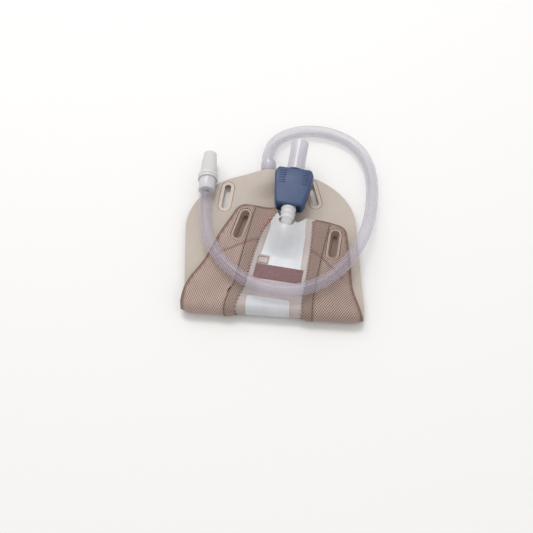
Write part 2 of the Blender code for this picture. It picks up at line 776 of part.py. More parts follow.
def build_inlet():
    """The moulded port welded between the films, and the two films of the flutter valve."""
    place = frame_at(0, -INLET_LENGTH, PORT_LEVEL)
    port = inlet_port()
    port.matrix_world = place
    flutter = CHAMBER_GAP / 2 + FRONT_FILM_LEVEL - FILM_THICKNESS / 2
    start = INLET_LENGTH - PORT_BOAT_LENGTH - PORT_SPOUT_LENGTH - 1 * MM
    for name, level in (
        ("flutter_valve_front", flutter + FLUTTER_THICKNESS / 2 + 0.15 * MM),
        ("flutter_valve_back", flutter - FLUTTER_THICKNESS / 2 - 0.15 * MM),
    ):
        flap = prism(name, flutter_outline(start), FLUTTER_THICKNESS, BAG)
        flap.data.materials.append(MATERIALS["film"])
        build = baked(flap)
        for vert in build.verts:
            t, s, through = vert.co
            vert.co = folded(t, s, level + through)
        replace_mesh(flap, build)


def flutter_outline(start):
    """A rectangle with clipped corners, hanging from the port into the bladder."""
    half, clip = FLUTTER_WIDTH / 2, 2 * MM
    near, far = -start, -start + FLUTTER_LENGTH
    return [
        (half - clip, near),
        (half, near + clip),
        (half, far - clip),
        (half - clip, far),
        (clip - half, far),
        (-half, far - clip),
        (-half, near + clip),
        (clip - half, near),
    ]


def inlet_port():
    """A boat-shaped foot between the films, with a spout inside and a collar for the tube outside."""
    half, thick = PORT_BOAT_WIDTH / 2, PORT_BOAT_THICKNESS / 2
    steps = 8
    upper = [
        (half * (1 - 2 * i / steps), max(thick * (1 - (1 - 2 * i / steps) ** 2), 0.25 * MM))
        for i in range(steps + 1)
    ]
    lens = upper + [(x, -z) for x, z in reversed(upper)]
    port = prism("inlet_port", lens, PORT_BOAT_LENGTH, BAG)
    port.data.materials.append(MATERIALS["clear"])
    port.data.transform(Matrix.Rotation(math.pi / 2, 4, "X"))
    port.data.transform(Matrix.Translation((0, -PORT_BOAT_LENGTH / 2, 0)))
    back = -PORT_BOAT_LENGTH - PORT_SPOUT_LENGTH
    barrel = turned(
        "port_barrel",
        [
            (back, 0),
            (back, PORT_SPOUT_RADIUS - 0.4 * MM),
            (back + 0.6 * MM, PORT_SPOUT_RADIUS),
            (0.4 * MM, PORT_SPOUT_RADIUS),
            (1.4 * MM, PORT_COLLAR_RADIUS),
            (PORT_COLLAR_LENGTH - 0.6 * MM, PORT_COLLAR_RADIUS),
            (PORT_COLLAR_LENGTH, PORT_COLLAR_RADIUS - 0.6 * MM),
            (PORT_COLLAR_LENGTH, 0),
        ],
        CUTTERS,
    )
    boolean(port, barrel, "UNION")
    bore = turned(
        "port_bore",
        [
            (back - 2 * MM, 0),
            (back - 2 * MM, PORT_BORE),
            (PORT_COLLAR_LENGTH + 2 * MM, PORT_BORE),
            (PORT_COLLAR_LENGTH + 2 * MM, 0),
        ],
        CUTTERS,
    )
    boolean(port, bore, "DIFFERENCE")
    build = baked(port)
    replace_mesh(port, build)
    port.data.shade_smooth()
    port.data.set_sharp_from_angle(angle=math.radians(35))
    return port


def tube_line():
    """The inlet tube's centreline, starting at the port's collar."""
    port = frame_at(0, -INLET_LENGTH, PORT_LEVEL)
    start = port @ Vector((0, PORT_COLLAR_LENGTH + END_GAP, 0))
    ahead = port @ Vector((0, PORT_COLLAR_LENGTH + END_GAP + 5 * MM, 0))
    route = [start, ahead] + [Vector(p) * MM for p in TUBE_ROUTE_MM]
    return smooth_line(route, ROUTE_STEPS)


def build_tube():
    """The tube as a round cord along its route, and the matrix of the connector at its far end."""
    line = tube_line()
    curve = bpy.data.curves.new("inlet_tube", "CURVE")
    curve.dimensions = "3D"
    curve.bevel_depth = TUBE_RADIUS
    curve.bevel_resolution = 4
    curve.use_fill_caps = True
    spline = curve.splines.new("POLY")
    spline.points.add(len(line) - 1)
    for point, place in zip(spline.points, line):
        point.co = (*place, 1)
    tube = bpy.data.objects.new("inlet_tube", curve)
    BAG.objects.link(tube)
    curve.materials.append(MATERIALS["tube"])
    out = (line[-1] - line[-2]).normalized()
    turn = math.atan2(-out.x, out.y)
    fall = Matrix.Rotation(-CONNECTOR_FALL, 4, "X")
    return Matrix.Translation(line[-1]) @ Matrix.Rotation(turn, 4, "Z") @ fall


def connector_profile():
    """The stepped connector: barrel, finger flange and three steps, from the tube outward."""
    start = END_GAP
    flange = start + CONNECTOR_BARREL_LENGTH
    profile = [
        (start, CONNECTOR_BORE),
        (start, CONNECTOR_BARREL_RADIUS - 0.5 * MM),
        (start + 0.6 * MM, CONNECTOR_BARREL_RADIUS),
        (flange, CONNECTOR_BARREL_RADIUS),
        (flange, CONNECTOR_FLANGE_RADIUS),
        (flange + CONNECTOR_FLANGE_LENGTH, CONNECTOR_FLANGE_RADIUS),
    ]
    place = flange + CONNECTOR_FLANGE_LENGTH
    for step in range(CONNECTOR_STEPS):
        big = CONNECTOR_STEP_RADIUS - step * CONNECTOR_STEP_DROP
        profile += [(place, big), (place + CONNECTOR_STEP_LENGTH, big - CONNECTOR_STEP_DROP * 1.3)]
        place += CONNECTOR_STEP_LENGTH
    profile.append((place, CONNECTOR_BORE))
    return profile, place


def cap_profile(tip):
    """The cap: a thin closed thimble that covers the stepped cone down to the flange."""
    start = END_GAP + CONNECTOR_BARREL_LENGTH + CONNECTOR_FLANGE_LENGTH + END_GAP
    mouth = CONNECTOR_STEP_RADIUS + CAP_CLEARANCE
    narrow = mouth - CONNECTOR_STEPS * CONNECTOR_STEP_DROP * 0.7
    inner_end = tip + CAP_END_ROOM
    return [
        (start, mouth),
        (start, mouth + CAP_WALL + 0.8 * MM),
        (start + 1.6 * MM, mouth + CAP_WALL + 0.8 * MM),
        (start + 2.2 * MM, mouth + CAP_WALL),
        (inner_end + CAP_WALL - 0.6 * MM, narrow + CAP_WALL),
        (inner_end + CAP_WALL, narrow + CAP_WALL - 0.7 * MM),
        (inner_end + CAP_WALL, 0),
        (inner_end, 0),
        (inner_end, narrow - 0.4 * MM),
        (inner_end - 1 * MM, narrow),
        (start + CONNECTOR_STEP_LENGTH, mouth),
    ], start


def build_connector(place):
    """The connector on the tube's far end and its push-on cap."""
    profile, tip = connector_profile()
    connector = turned("tube_connector", profile, BAG, MATERIALS["white"])
    connector.matrix_world = place
    outline, start = cap_profile(tip)
    moved = [(along_axis - start, radius) for along_axis, radius in outline]
    cap = turned("connector_cap", moved, BAG, MATERIALS["cap"])
    cap.matrix_world = place @ Matrix.Translation((0, start, 0))


def centre_on_table():
    """Centres the bag on the origin, measured without the tube and its end pieces."""
    bpy.context.view_layer.update()
    on_tube = {"inlet_tube", "tube_connector", "connector_cap"}
    corners = [
        one.matrix_world @ Vector(corner)
        for one in BAG.objects
        if one.name not in on_tube
        for corner in one.bound_box
    ]
    middle_x = (min(c.x for c in corners) + max(c.x for c in corners)) / 2
    middle_y = (min(c.y for c in corners) + max(c.y for c in corners)) / 2
    bottom = min(c.z for c in corners)
    for one in BAG.objects:
        one.matrix_world = Matrix.Translation((-middle_x, -middle_y, -bottom)) @ one.matrix_world


for old in list(bpy.data.objects):
    bpy.data.objects.remove(old)

BAG = collection("urine_drainage_bag")
CUTTERS = collection("cutters", hidden=True)
MATERIALS = {
    "fabric": material("taupe_mesh_fabric", (0.36, 0.26, 0.22), 0.85),
    "fleece": material("beige_fleece", (0.58, 0.52, 0.46), 0.95),
    "film": material("clear_film", (0.75, 0.76, 0.78), 0.25, 0.5),
    "rim": material("welded_rim", (0.38, 0.31, 0.28), 0.4),
    "white": material("white_plastic", (0.75, 0.75, 0.76), 0.35),
    "clear": material("clear_plastic", (0.7, 0.68, 0.72), 0.3),
    "tube": material("tube_plastic", (0.6, 0.55, 0.62), 0.25),
    "blue": material("blue_plastic", (0.075, 0.12, 0.21), 0.4),
    "seal": material("black_rubber", (0.02, 0.02, 0.02), 0.7),
    "cap": material("cap_plastic", (0.7, 0.7, 0.72), 0.35),
}
OUTLINE = half_outline()

soft_sheets()
fabric_panels()
slot_rims()
build_drain()
build_inlet()
build_connector(build_tube())
centre_on_table()
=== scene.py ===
"""The looks of a folded leg bag for urine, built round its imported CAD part.

The sheets are cut in the bag's flat pattern: t runs across the bag, s along it from the
fold to the drain valve (minus s to the inlet) and n outward through the stack. Pattern
repeats the source's rules for laying and folding it, so every sheet lies where its solid is.
"""

import json
import logging
import math
from dataclasses import dataclass, field
from enum import Enum
from typing import Callable, Iterable, Sequence

import bmesh
import bpy
import numpy as np
from mathutils import Matrix, Vector
from mathutils.geometry import delaunay_2d_cdt

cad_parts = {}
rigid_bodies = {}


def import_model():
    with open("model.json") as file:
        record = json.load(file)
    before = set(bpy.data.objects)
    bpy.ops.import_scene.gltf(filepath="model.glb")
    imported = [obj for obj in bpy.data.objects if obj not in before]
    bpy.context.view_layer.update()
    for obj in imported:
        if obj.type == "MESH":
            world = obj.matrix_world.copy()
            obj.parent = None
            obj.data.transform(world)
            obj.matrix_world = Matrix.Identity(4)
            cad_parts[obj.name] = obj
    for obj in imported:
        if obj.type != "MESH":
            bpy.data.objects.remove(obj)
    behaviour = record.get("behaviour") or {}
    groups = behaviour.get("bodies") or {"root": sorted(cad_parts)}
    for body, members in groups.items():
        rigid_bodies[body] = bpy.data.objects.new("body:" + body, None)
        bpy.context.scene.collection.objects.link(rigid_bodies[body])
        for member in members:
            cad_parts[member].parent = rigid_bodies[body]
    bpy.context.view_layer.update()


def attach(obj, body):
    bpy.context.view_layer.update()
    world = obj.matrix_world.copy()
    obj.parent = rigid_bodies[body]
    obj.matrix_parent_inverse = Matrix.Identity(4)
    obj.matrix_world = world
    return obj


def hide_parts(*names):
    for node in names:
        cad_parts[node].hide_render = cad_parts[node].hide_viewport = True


MM = 0.001
LOG = logging.getLogger("leg_bag")
Level = Callable[[np.ndarray, np.ndarray], np.ndarray]
Source = bpy.types.Node | bpy.types.NodeSocket
Value = Source | float | str | tuple


class Body(str, Enum):
    """The part's bodies."""

    BAG = "bag"
    DRAIN = "drain"
    CAP = "cap"


class Slot(str, Enum):
    """The record's material slots."""

    MESH = "taupe_mesh"
    FLEECE = "beige_fleece"
    FILM = "clear_film"
    RIM = "rim"
    WHITE = "white_plastic"
    CLEAR = "clear_plastic"
    TUBE = "tube_plastic"
    BLUE = "blue_plastic"
    SEAL = "seal_rubber"
    CAP = "cap_plastic"


def linear(colour: str) -> tuple[float, float, float, float]:
    """Turns an sRGB hex colour to Blender's linear one.

    Args:
        colour: six hex digits after a #.

    Returns:
        Red, green, blue and an alpha of 1.
    """
    parts = [int(colour[i : i + 2], 16) / 255 for i in (1, 3, 5)]
    return (*(c / 12.92 if c <= 0.04045 else ((c + 0.055) / 1.055) ** 2.4 for c in parts), 1.0)


def feed(
    tree: bpy.types.NodeTree, node: bpy.types.Node, inputs: dict[str | int, Value] | Sequence[Value]
) -> None:
    """Sets or links a node's inputs.

    Args:
        tree: the node tree.
        node: the node.
        inputs: what its inputs get, by name, by number or in order: a number, a vector, a hex
            colour, or the socket or node that it is linked from.
    """
    for key, value in inputs.items() if isinstance(inputs, dict) else enumerate(inputs):
        if isinstance(value, bpy.types.Node):
            value = value.outputs[0]
        if isinstance(value, bpy.types.NodeSocket):
            tree.links.new(value, node.inputs[key])
        else:
            node.inputs[key].default_value = linear(value) if isinstance(value, str) else value


def add(
    tree: bpy.types.NodeTree,
    kind: str,
    inputs: dict[str | int, Value] | Sequence[Value] = (),
    **settings: str | bool,
) -> bpy.types.Node:
    """Adds a node with its settings and links.

    Args:
        tree: the node tree.
        kind: the node's type.
        inputs: what its inputs get, as feed takes them.
        settings: the node's own properties.

    Returns:
        The node.
    """
    made = tree.nodes.new(kind)
    for name, value in settings.items():
        setattr(made, name, value)
    feed(tree, made, inputs)
    return made


# Two ways to set a Math node: a slope and a start, and the same kept from 0 to 1.
LINE = {"operation": "MULTIPLY_ADD"}
RAMP = {"operation": "MULTIPLY_ADD", "use_clamp": True}


@dataclass(frozen=True)
class Detail:
    """What a finish adds to its shader. None leaves the plain value.

    Attributes:
        layers: the colours that lie over the main one, each with its share.
        roughness: the roughness.
        height: the relief.
        relief: how high the relief stands, in metres.
        alpha: how much of the light it stops.
    """

    layers: tuple[tuple[Source, str], ...] = ()
    roughness: Source | None = None
    height: Source | None = None
    relief: float = 0.0
    alpha: Source | None = None


@dataclass(frozen=True)
class Finish:
    """A material: what it is, and how its surface was made. By itself it is a moulded plastic, whose
    fine grain is 1 mm across and shows as a hardly visible unevenness. Patterns on a sheet read its
    place in the flat pattern, in millimetres, from the UV map "flat", so they fold with it.

    Attributes:
        name: what the real material is and how it was made.
        colour: its main colour, as sRGB hex.
        roughness: its roughness.
        extra: other numbers on the shader's own sockets, by name.
    """

    name: str
    colour: str
    roughness: float
    extra: tuple[tuple[str, float], ...] = ()

    def detail(self, tree: bpy.types.NodeTree) -> Detail:
        """Fine grain, and tone and gloss that vary softly over about a centimetre.

        Args:
            tree: the material's nodes.

        Returns:
            The detail.
        """
        place = add(tree, "ShaderNodeTexCoord").outputs["Object"]
        grain = add(tree, "ShaderNodeTexNoise", {"Vector": place, "Scale": 900.0, "Detail": 2.0})
        cloud = add(tree, "ShaderNodeTexNoise", {"Vector": place, "Scale": 90.0, "Detail": 3.0})
        tone = add(tree, "ShaderNodeMath", (cloud, 0.12, -0.02), **RAMP)
        rough = add(tree, "ShaderNodeMath", (cloud, 0.16, self.roughness - 0.08), **LINE)
        return Detail(((tone, "#3C3A3C"),), rough, grain, 0.04 * MM)

    def made(self) -> bpy.types.Material:
        """The Blender material, made once.

        Returns:
            The material.
        """
        if self.name in bpy.data.materials:
            return bpy.data.materials[self.name]
        material = bpy.data.materials.new(self.name)
        material.use_nodes = True
        tree = material.node_tree
        shader = tree.nodes["Principled BSDF"]
        plain = {"Base Color": self.colour, "Roughness": self.roughness, **dict(self.extra)}
        feed(tree, shader, plain)
        detail, colour = self.detail(tree), self.colour
        for share, over in detail.layers:
            mixed = add(tree, "ShaderNodeMix", {0: share, 6: colour, 7: over}, data_type="RGBA")
            colour = mixed.outputs[2]
        found = {"Base Color": colour, "Roughness": detail.roughness, "Alpha": detail.alpha}
        if detail.height:
            inputs = {"Height": detail.height, "Strength": 1.0, "Distance": detail.relief}
            found["Normal"] = add(tree, "ShaderNodeBump", inputs)
        feed(tree, shader, {name: value for name, value in found.items() if value is not None})
        return material


@dataclass(frozen=True)
class MeshKnit(Finish):
    """Warp-knitted polyester net: rows of thread that lean across each other, matt, darker in the
    holes. The real rows are finer, and these are as coarse as they need to be to show. Lengths are in
    millimetres of the flat pattern.

    Attributes:
        hole: the colour in the holes.
        hem: the colour of the doubled hem by the window.
        weld: the colour where the edge is welded flat.
        ink: the red that shows through the hem's end by the drain.
        slit_shade: the painted shade in the short slit beside the left hem's stitches, where the hem
            gapes.
        pitch: between rows of thread.
        lean: how far the rows lean from across the bag, in degrees.
        strong: how much the rows that lean one way darken the net.
        weak: how much the others do.
        level: the holes' share of the net, on the left and on the right; the right's larger share is
            painted shade that darkens the right panel.
        strokes: where the red strokes begin and end along the bag.
        stroke_edge: how far out they reach at the fold, and how much less for each mm along.
        stroke_pitch: between strokes.
        stroke_lean: how much they climb for each mm across.
        slit_place: the slit's middle, across and along.
        slit_half: half its width and half its length.
        slit_lean: how much it runs across for each mm along.
    """

    hole: str = "#735C52"
    hem: str = "#7E685F"
    weld: str = "#6E5148"
    ink: str = "#B4736A"
    # Painted shade in the gap where the hem parts from its stitches.
    slit_shade: str = "#3A2A27"
    pitch: float = 1.12
    lean: float = 52.0
    strong: float = 0.56
    weak: float = 0.38
    # The right's larger share is painted shade on the right panel.
    level: tuple[float, float] = (0.45, 0.63)
    strokes: tuple[float, float] = (54.0, 70.0)
    stroke_edge: tuple[float, float] = (29.6, 0.2)
    stroke_pitch: float = 2.3
    stroke_lean: float = 0.7
    slit_place: tuple[float, float] = (-26.9, 11.8)
    slit_half: tuple[float, float] = (0.62, 3.0)
    slit_lean: float = 0.34

    def rows(self, tree: bpy.types.NodeTree, place: Source, side: float) -> bpy.types.Node:
        """One set of leaning rows.

        Args:
            tree: the material's nodes.
            place: the place in the flat pattern, the same on both halves of the bag.
            side: 1 or -1 for the way the rows lean.

        Returns:
            A wave, 1 between two threads and -1 on them.
        """
        wave, angle = math.tau / self.pitch, math.radians(self.lean)
        way = (side * math.sin(angle) * wave, -math.cos(angle) * wave, 0)
        dot = add(tree, "ShaderNodeVectorMath", (place, way), operation="DOT_PRODUCT")
        return add(tree, "ShaderNodeMath", (dot.outputs["Value"],), operation="COSINE")

    def red_strokes(
        self, tree: bpy.types.NodeTree, across: Source, along: Source, half: Source
    ) -> bpy.types.Node:
        """The short red strokes that show through the left hem beside the valve.

        Args:
            tree: the material's nodes.
            across: the place across the bag.
            along: the place along it.
            half: how far the place is from the bag's axis.

        Returns:
            1 on a stroke and 0 away from it.
        """
        fade, near_fade, wave = 1.5, 0.8, math.tau / self.stroke_pitch
        (start, end), (reach, less) = self.strokes, self.stroke_edge
        above = add(tree, "ShaderNodeMath", (along, 1 / fade, -start / fade), **RAMP)
        below = add(tree, "ShaderNodeMath", (along, -1 / fade, end / fade), **RAMP)
        edge = add(tree, "ShaderNodeMath", (along, -less, reach), **LINE)
        room = add(tree, "ShaderNodeMath", (edge, half), operation="SUBTRACT")
        near = add(tree, "ShaderNodeMath", (room, 1 / near_fade, 0.0), **RAMP)
        left = add(tree, "ShaderNodeMath", (across, 0.0), operation="LESS_THAN")
        slant = add(tree, "ShaderNodeMath", (half, -self.stroke_lean, along), **LINE)
        turn = add(tree, "ShaderNodeMath", (slant, wave), operation="MULTIPLY")
        stripe = add(tree, "ShaderNodeMath", (turn,), operation="COSINE")
        stroke = add(tree, "ShaderNodeMath", (stripe, 0.8, 0.1), **RAMP)
        for part in (above, below, near, left):
            stroke = add(tree, "ShaderNodeMath", (stroke, part), operation="MULTIPLY")
        return stroke

    def slit(self, tree: bpy.types.NodeTree, across: Source, along: Source) -> bpy.types.Node:
        """Where the left hem gapes a little beside its stitches, near the fold, and its gap is painted
        as shade.

        Args:
            tree: the material's nodes.
            across: the place across the bag.
            along: the place along it.

        Returns:
            1 in the slit and 0 away from it.
        """
        up = add(tree, "ShaderNodeMath", (along, self.slit_place[1]), operation="SUBTRACT")
        lean = add(tree, "ShaderNodeMath", (up, -self.slit_lean, across), **LINE)
        out = add(tree, "ShaderNodeMath", (lean, self.slit_place[0]), operation="SUBTRACT")
        squares = []
        for value, half in zip((out, up), self.slit_half):
            share = add(tree, "ShaderNodeMath", (value, half), operation="DIVIDE")
            squares.append(add(tree, "ShaderNodeMath", (share, share), operation="MULTIPLY"))
        total = add(tree, "ShaderNodeMath", squares, operation="ADD")
        return add(tree, "ShaderNodeMath", (total, -2.0, 2.0), **RAMP)

    def detail(self, tree: bpy.types.NodeTree) -> Detail:
        """The net, the darker hem, the red strokes, the slit's painted shade, the welded edge, and
        painted shade on the right panel.

        Args:
            tree: the material's nodes.

        Returns:
            The detail.
        """
        place = add(tree, "ShaderNodeUVMap", uv_map="flat")
        mirrored = add(tree, "ShaderNodeVectorMath", (place,), operation="ABSOLUTE")
        across, along, _ = add(tree, "ShaderNodeSeparateXYZ", (place,)).outputs
        half = add(tree, "ShaderNodeSeparateXYZ", (mirrored,))
        both = add(tree, "ShaderNodeCombineXYZ", (half, along))
        # The right panel takes more of the hole colour: painted shade on that side.
        left, right = self.level
        is_right = add(tree, "ShaderNodeMath", (across, 0.0), operation="GREATER_THAN")
        level = add(tree, "ShaderNodeMath", (is_right, right - left, left), **LINE)
        base = add(tree, "ShaderNodeMath", (self.rows(tree, both, -1), self.weak, level), **LINE)
        net = add(tree, "ShaderNodeMath", (self.rows(tree, both, 1), self.strong, base), **RAMP)
        cloud = add(tree, "ShaderNodeTexNoise", {"Vector": place, "Scale": 0.09, "Detail": 3.0})
        hem = add(tree, "ShaderNodeAttribute", attribute_name="hem").outputs["Fac"]
        edge = add(tree, "ShaderNodeAttribute", attribute_name="weld").outputs["Fac"]
        layers = (
            (cloud, "#BBA094"),
            (net, self.hole),
            (add(tree, "ShaderNodeMath", (hem, 0.5), operation="MULTIPLY"), self.hem),
            (self.red_strokes(tree, across, along, half), self.ink),
            # painted shade in the hem's gap
            (self.slit(tree, across, along), self.slit_shade),
            (add(tree, "ShaderNodeMath", (edge, 0.9), operation="MULTIPLY"), self.weld),
        )
        thread = add(tree, "ShaderNodeMath", (1.0, net), operation="SUBTRACT")
        free = add(tree, "ShaderNodeMath", (edge, -0.8, 1.0), **LINE)
        height = add(tree, "ShaderNodeMath", (thread, free), operation="MULTIPLY")
        return Detail(layers, None, height, 0.25 * MM)


@dataclass(frozen=True)
class Fleece(Finish):
    """Brushed non-woven backing: short matted fibres, 0.6 mm across, that scatter light, so no gloss.
    Right under the drain half's slots it carries painted shade.

    Attributes:
        shade: the painted shade right under the drain half's slots, where their depth keeps light off
            the fleece.
    """

    # Painted shade, where the slots' depth keeps light off the fleece below.
    shade: str = "#957E74"

    def detail(self, tree: bpy.types.NodeTree) -> Detail:
        """Matted fibres, fine pits, a faint cloudiness and the painted shade under the slots.

        Args:
            tree: the material's nodes.

        Returns:
            The detail.
        """
        place = add(tree, "ShaderNodeUVMap", uv_map="flat")
        long_way = add(tree, "ShaderNodeMapping", {0: place, "Scale": (1.6, 0.5, 1.0)})
        fibre = add(tree, "ShaderNodeTexNoise", {"Vector": long_way, "Scale": 1.8, "Detail": 5.0})
        cloud = add(tree, "ShaderNodeTexNoise", {"Vector": place, "Scale": 0.07, "Detail": 4.0})
        matted = add(tree, "ShaderNodeMath", (fibre, 0.5, -0.35), **LINE)
        share = add(tree, "ShaderNodeMath", (cloud, 0.7, matted), **LINE)
        # Painted shade: the fleece darkened right under the drain half's slots.
        under = add(tree, "ShaderNodeAttribute", attribute_name="painted_slot_shade").outputs["Fac"]
        shadow = add(tree, "ShaderNodeMath", (under, 0.85), operation="MULTIPLY")
        return Detail(((share, "#B3A698"), (shadow, self.shade)), None, fibre, 0.3 * MM)


@dataclass(frozen=True)
class PressedFilm(Finish):
    """Soft plasticised film, calendered smooth: glossy, with shallow creases from being folded, some
    6 mm apart. Round the fold it is painted a little darker, and it carries painted shade in the
    creases and on the margin left of the print.

    Attributes:
        crease: how deep the creases are, in metres.
        shade: the painted shade in the creases, round the fold and on the margin left of the print.
        left: how much of that painted shade the margin left of the print has.
    """

    crease: float = 0.3 * MM
    # Painted shade in the creases, round the fold and, by left, on the margin left of the print.
    shade: str = "#B9B6B6"
    left: float = 0.0

    def detail(self, tree: bpy.types.NodeTree) -> Detail:
        """Long creases down the film, a soft unevenness, and painted shade in the creases, round the
        fold and on the margin left of the print.

        Args:
            tree: the material's nodes.

        Returns:
            The detail.
        """
        place = add(tree, "ShaderNodeUVMap", uv_map="flat")
        down = add(tree, "ShaderNodeMapping", {0: place, "Scale": (1.0, 0.35, 1.0)})
        inputs = {"Vector": down, "Scale": 0.16, "Detail": 4.0, "Roughness": 0.55, "Distortion": 0.6}
        soft = add(tree, "ShaderNodeTexNoise", inputs)
        across, along, _ = add(tree, "ShaderNodeSeparateXYZ", (place,)).outputs
        # Painted shade: darker toward the fold and on the margin left of the print.
        shares = []
        for ramp, most in (((along, -1 / 6, 16 / 6), 0.3), ((across, -1 / 4, -8 / 4), self.left)):
            share = add(tree, "ShaderNodeMath", ramp, **RAMP)
            shares.append(add(tree, "ShaderNodeMath", (share, most), operation="MULTIPLY"))
        most = add(tree, "ShaderNodeMath", shares, operation="MAXIMUM")
        # Painted shade in the creases.
        creased = add(tree, "ShaderNodeMath", (soft, 1.6, -0.55), **RAMP)
        tone = add(tree, "ShaderNodeMath", (creased, 0.45, most), **RAMP)
        return Detail(((tone, self.shade),), None, soft, self.crease)


@dataclass(frozen=True)
class Print(Finish):
    """Ink screened on the film: flat colour, worn a little thin in specks of about 3 mm."""

    def detail(self, tree: bpy.types.NodeTree) -> Detail:
        """Uneven ink.

        Args:
            tree: the material's nodes.

        Returns:
            The detail.
        """
        place = add(tree, "ShaderNodeUVMap", uv_map="flat")
        cloud = add(tree, "ShaderNodeTexNoise", {"Vector": place, "Scale": 0.35, "Detail": 6.0})
        worn = add(tree, "ShaderNodeMath", (cloud, 1.2, -0.38), **RAMP)
        share = add(tree, "ShaderNodeMath", (worn, 0.5), operation="MULTIPLY")
        return Detail(((share, "#96787A"),))


@dataclass(frozen=True)
class WeldedRim(Finish):
    """Fabric and films welded into one: smooth where the tool pressed, with its marks some 2.5 mm
    apart, and browner down the wall and in the groove round the lip, partly the weld's own colour and
    partly painted shade.

    Attributes:
        wall: the colour of the slot's wall and of the groove round the lip, partly the weld's own brown
            and partly painted shade.
    """

    # Partly the weld's own brown, partly painted shade down the wall and in the groove.
    wall: str = "#A89084"

    def detail(self, tree: bpy.types.NodeTree) -> Detail:
        """The darker wall and groove, partly painted shade, and the press marks.

        Args:
            tree: the material's nodes.

        Returns:
            The detail.
        """
        place = add(tree, "ShaderNodeTexCoord").outputs["Object"]
        cloud = add(tree, "ShaderNodeTexNoise", {"Vector": place, "Scale": 400.0, "Detail": 3.0})
        uneven = add(tree, "ShaderNodeMath", (cloud, 0.4, -0.2), **LINE)
        # The wall mark: partly the weld's own brown, partly painted shade down the wall and in the
        # groove round the lip.
        deep = add(tree, "ShaderNodeAttribute", attribute_name="wall").outputs["Fac"]
        tone = add(tree, "ShaderNodeMath", (deep, uneven), operation="ADD", use_clamp=True)
        return Detail(((tone, self.wall),), None, cloud, 0.1 * MM)


@dataclass(frozen=True)
class Tubing(Finish):
    """Plasticised PVC tubing, extruded: clear with a lilac tint and a wet gloss. The eye looks through
    more of its wall toward its sides, so they are deeper in colour than its middle.

    Attributes:
        middle: how much of the light each wall stops where it is seen square on.
        side: how much more it stops where it is seen edge on.
        inner: how much less of both the bore's own surface stops.
    """

    middle: float = 0.2
    side: float = 0.72
    inner: float = 0.8

    def detail(self, tree: bpy.types.NodeTree) -> Detail:
        """A clear wall that thickens to the eye at its sides, with a faint cloudiness 2 cm across.

        Args:
            tree: the material's nodes.

        Returns:
            The detail.
        """
        place = add(tree, "ShaderNodeTexCoord").outputs["Object"]
        cloud = add(tree, "ShaderNodeTexNoise", {"Vector": place, "Scale": 45.0, "Detail": 2.0})
        rough = add(tree, "ShaderNodeMath", (cloud, 0.06, self.roughness - 0.03), **LINE)
        edge_on = add(tree, "ShaderNodeLayerWeight", {"Blend": 0.5}).outputs["Facing"]
        steep = add(tree, "ShaderNodeMath", (edge_on, 2.6), operation="POWER")
        cloudy = add(tree, "ShaderNodeMath", (cloud, 0.12, self.middle - 0.06), **LINE)
        wall = add(tree, "ShaderNodeMath", (steep, self.side, cloudy), **RAMP)
        bore = add(tree, "ShaderNodeAttribute", attribute_name="bore").outputs["Fac"]
        within = add(tree, "ShaderNodeMath", (bore, -self.inner, 1.0), **LINE)
        alpha = add(tree, "ShaderNodeMath", (wall, within), operation="MULTIPLY")
        return Detail((), rough, alpha=alpha)


# The net takes no gloss at all, only the faint sheen of polyester thread at a low angle.
MESH_KNIT = MeshKnit("warp_knitted_polyester_net", "#DCC6BB", 0.85, (("Sheen Weight", 0.15),))
# Loose fibre ends give the fleece a soft bloom toward its outline.
# Its shade colour is painted shade, right under the drain half's slots.
FLEECE = Fleece("brushed_non_woven", "#C3B8AE", 0.95, (("Sheen Weight", 0.25),))
# The clear film shows the fleece through it, with a milky pink cast.
# Its shade is painted shade in the creases, round the fold and on the margin left of the print.
CLEAR_FILM = PressedFilm(
    "clear_pvc_film", "#D3C6C2", 0.36, (("Alpha", 0.56),), shade="#C1B3AE", left=0.9
)
# White ink on the film's inside reads as a cool, even, half glossy white.
# Its shade is painted shade in the creases and round the fold.
WHITE_FILM = PressedFilm("white_backed_pvc_film", "#CCCDD0", 0.38, shade="#A8A8AD")
MAROON_INK = Print("maroon_screen_ink", "#6A4143", 0.5)
# The welding tool leaves the rim smoother and shinier than the net round it.
WELDED_RIM = WeldedRim("welded_pvc_rim", "#B5A196", 0.3)
# Undyed polyethylene is a milky white with the soft, waxy gloss of the mould.
NATURAL_PE = Finish("natural_moulded_polyethylene", "#CCCBCE", 0.32)
# The blue one has a finely eroded mould, so its gloss is weaker.
BLUE_PE = Finish("blue_moulded_polyethylene", "#394B6F", 0.42, (("Specular IOR Level", 0.35),))
# Polished moulds leave the clear pieces glassy, with the tube's lilac tint where they are thick.
CLEAR_PVC = Finish("clear_moulded_pvc", "#D4CFD8", 0.2, (("Alpha", 0.72),))
# The cap's thin wall lets a little of the connector through.
CAP_PE = Finish("translucent_moulded_cap", "#E4E2E0", 0.3, (("Alpha", 0.82),))
# Moulded rubber is a dull near black.
SEAL_RUBBER = Finish("black_nitrile_ring", "#262626", 0.6)
# Spun thread is matt, and darker than the net that it is sewn through.
THREAD = Finish("spun_polyester_thread", "#4C3933", 0.8)
# A wet gloss over a soft wall: the coat gives the long highlight along the tube.
TUBING = Tubing(
    "lilac_clear_pvc_tubing",
    "#B6AFC1",
    0.3,
    (("IOR", 1.5), ("Coat Weight", 1.0), ("Coat Roughness", 0.24)),
)


def smooth(value: np.ndarray, start: float, end: float) -> np.ndarray:
    """Eases from 0 to 1.

    Args:
        value: the numbers.
        start: where it leaves 0.
        end: where it reaches 1.

    Returns:
        0 before start and 1 past end.
    """
    share = np.clip((value - start) / (end - start), 0, 1)
    return share * share * (3 - 2 * share)


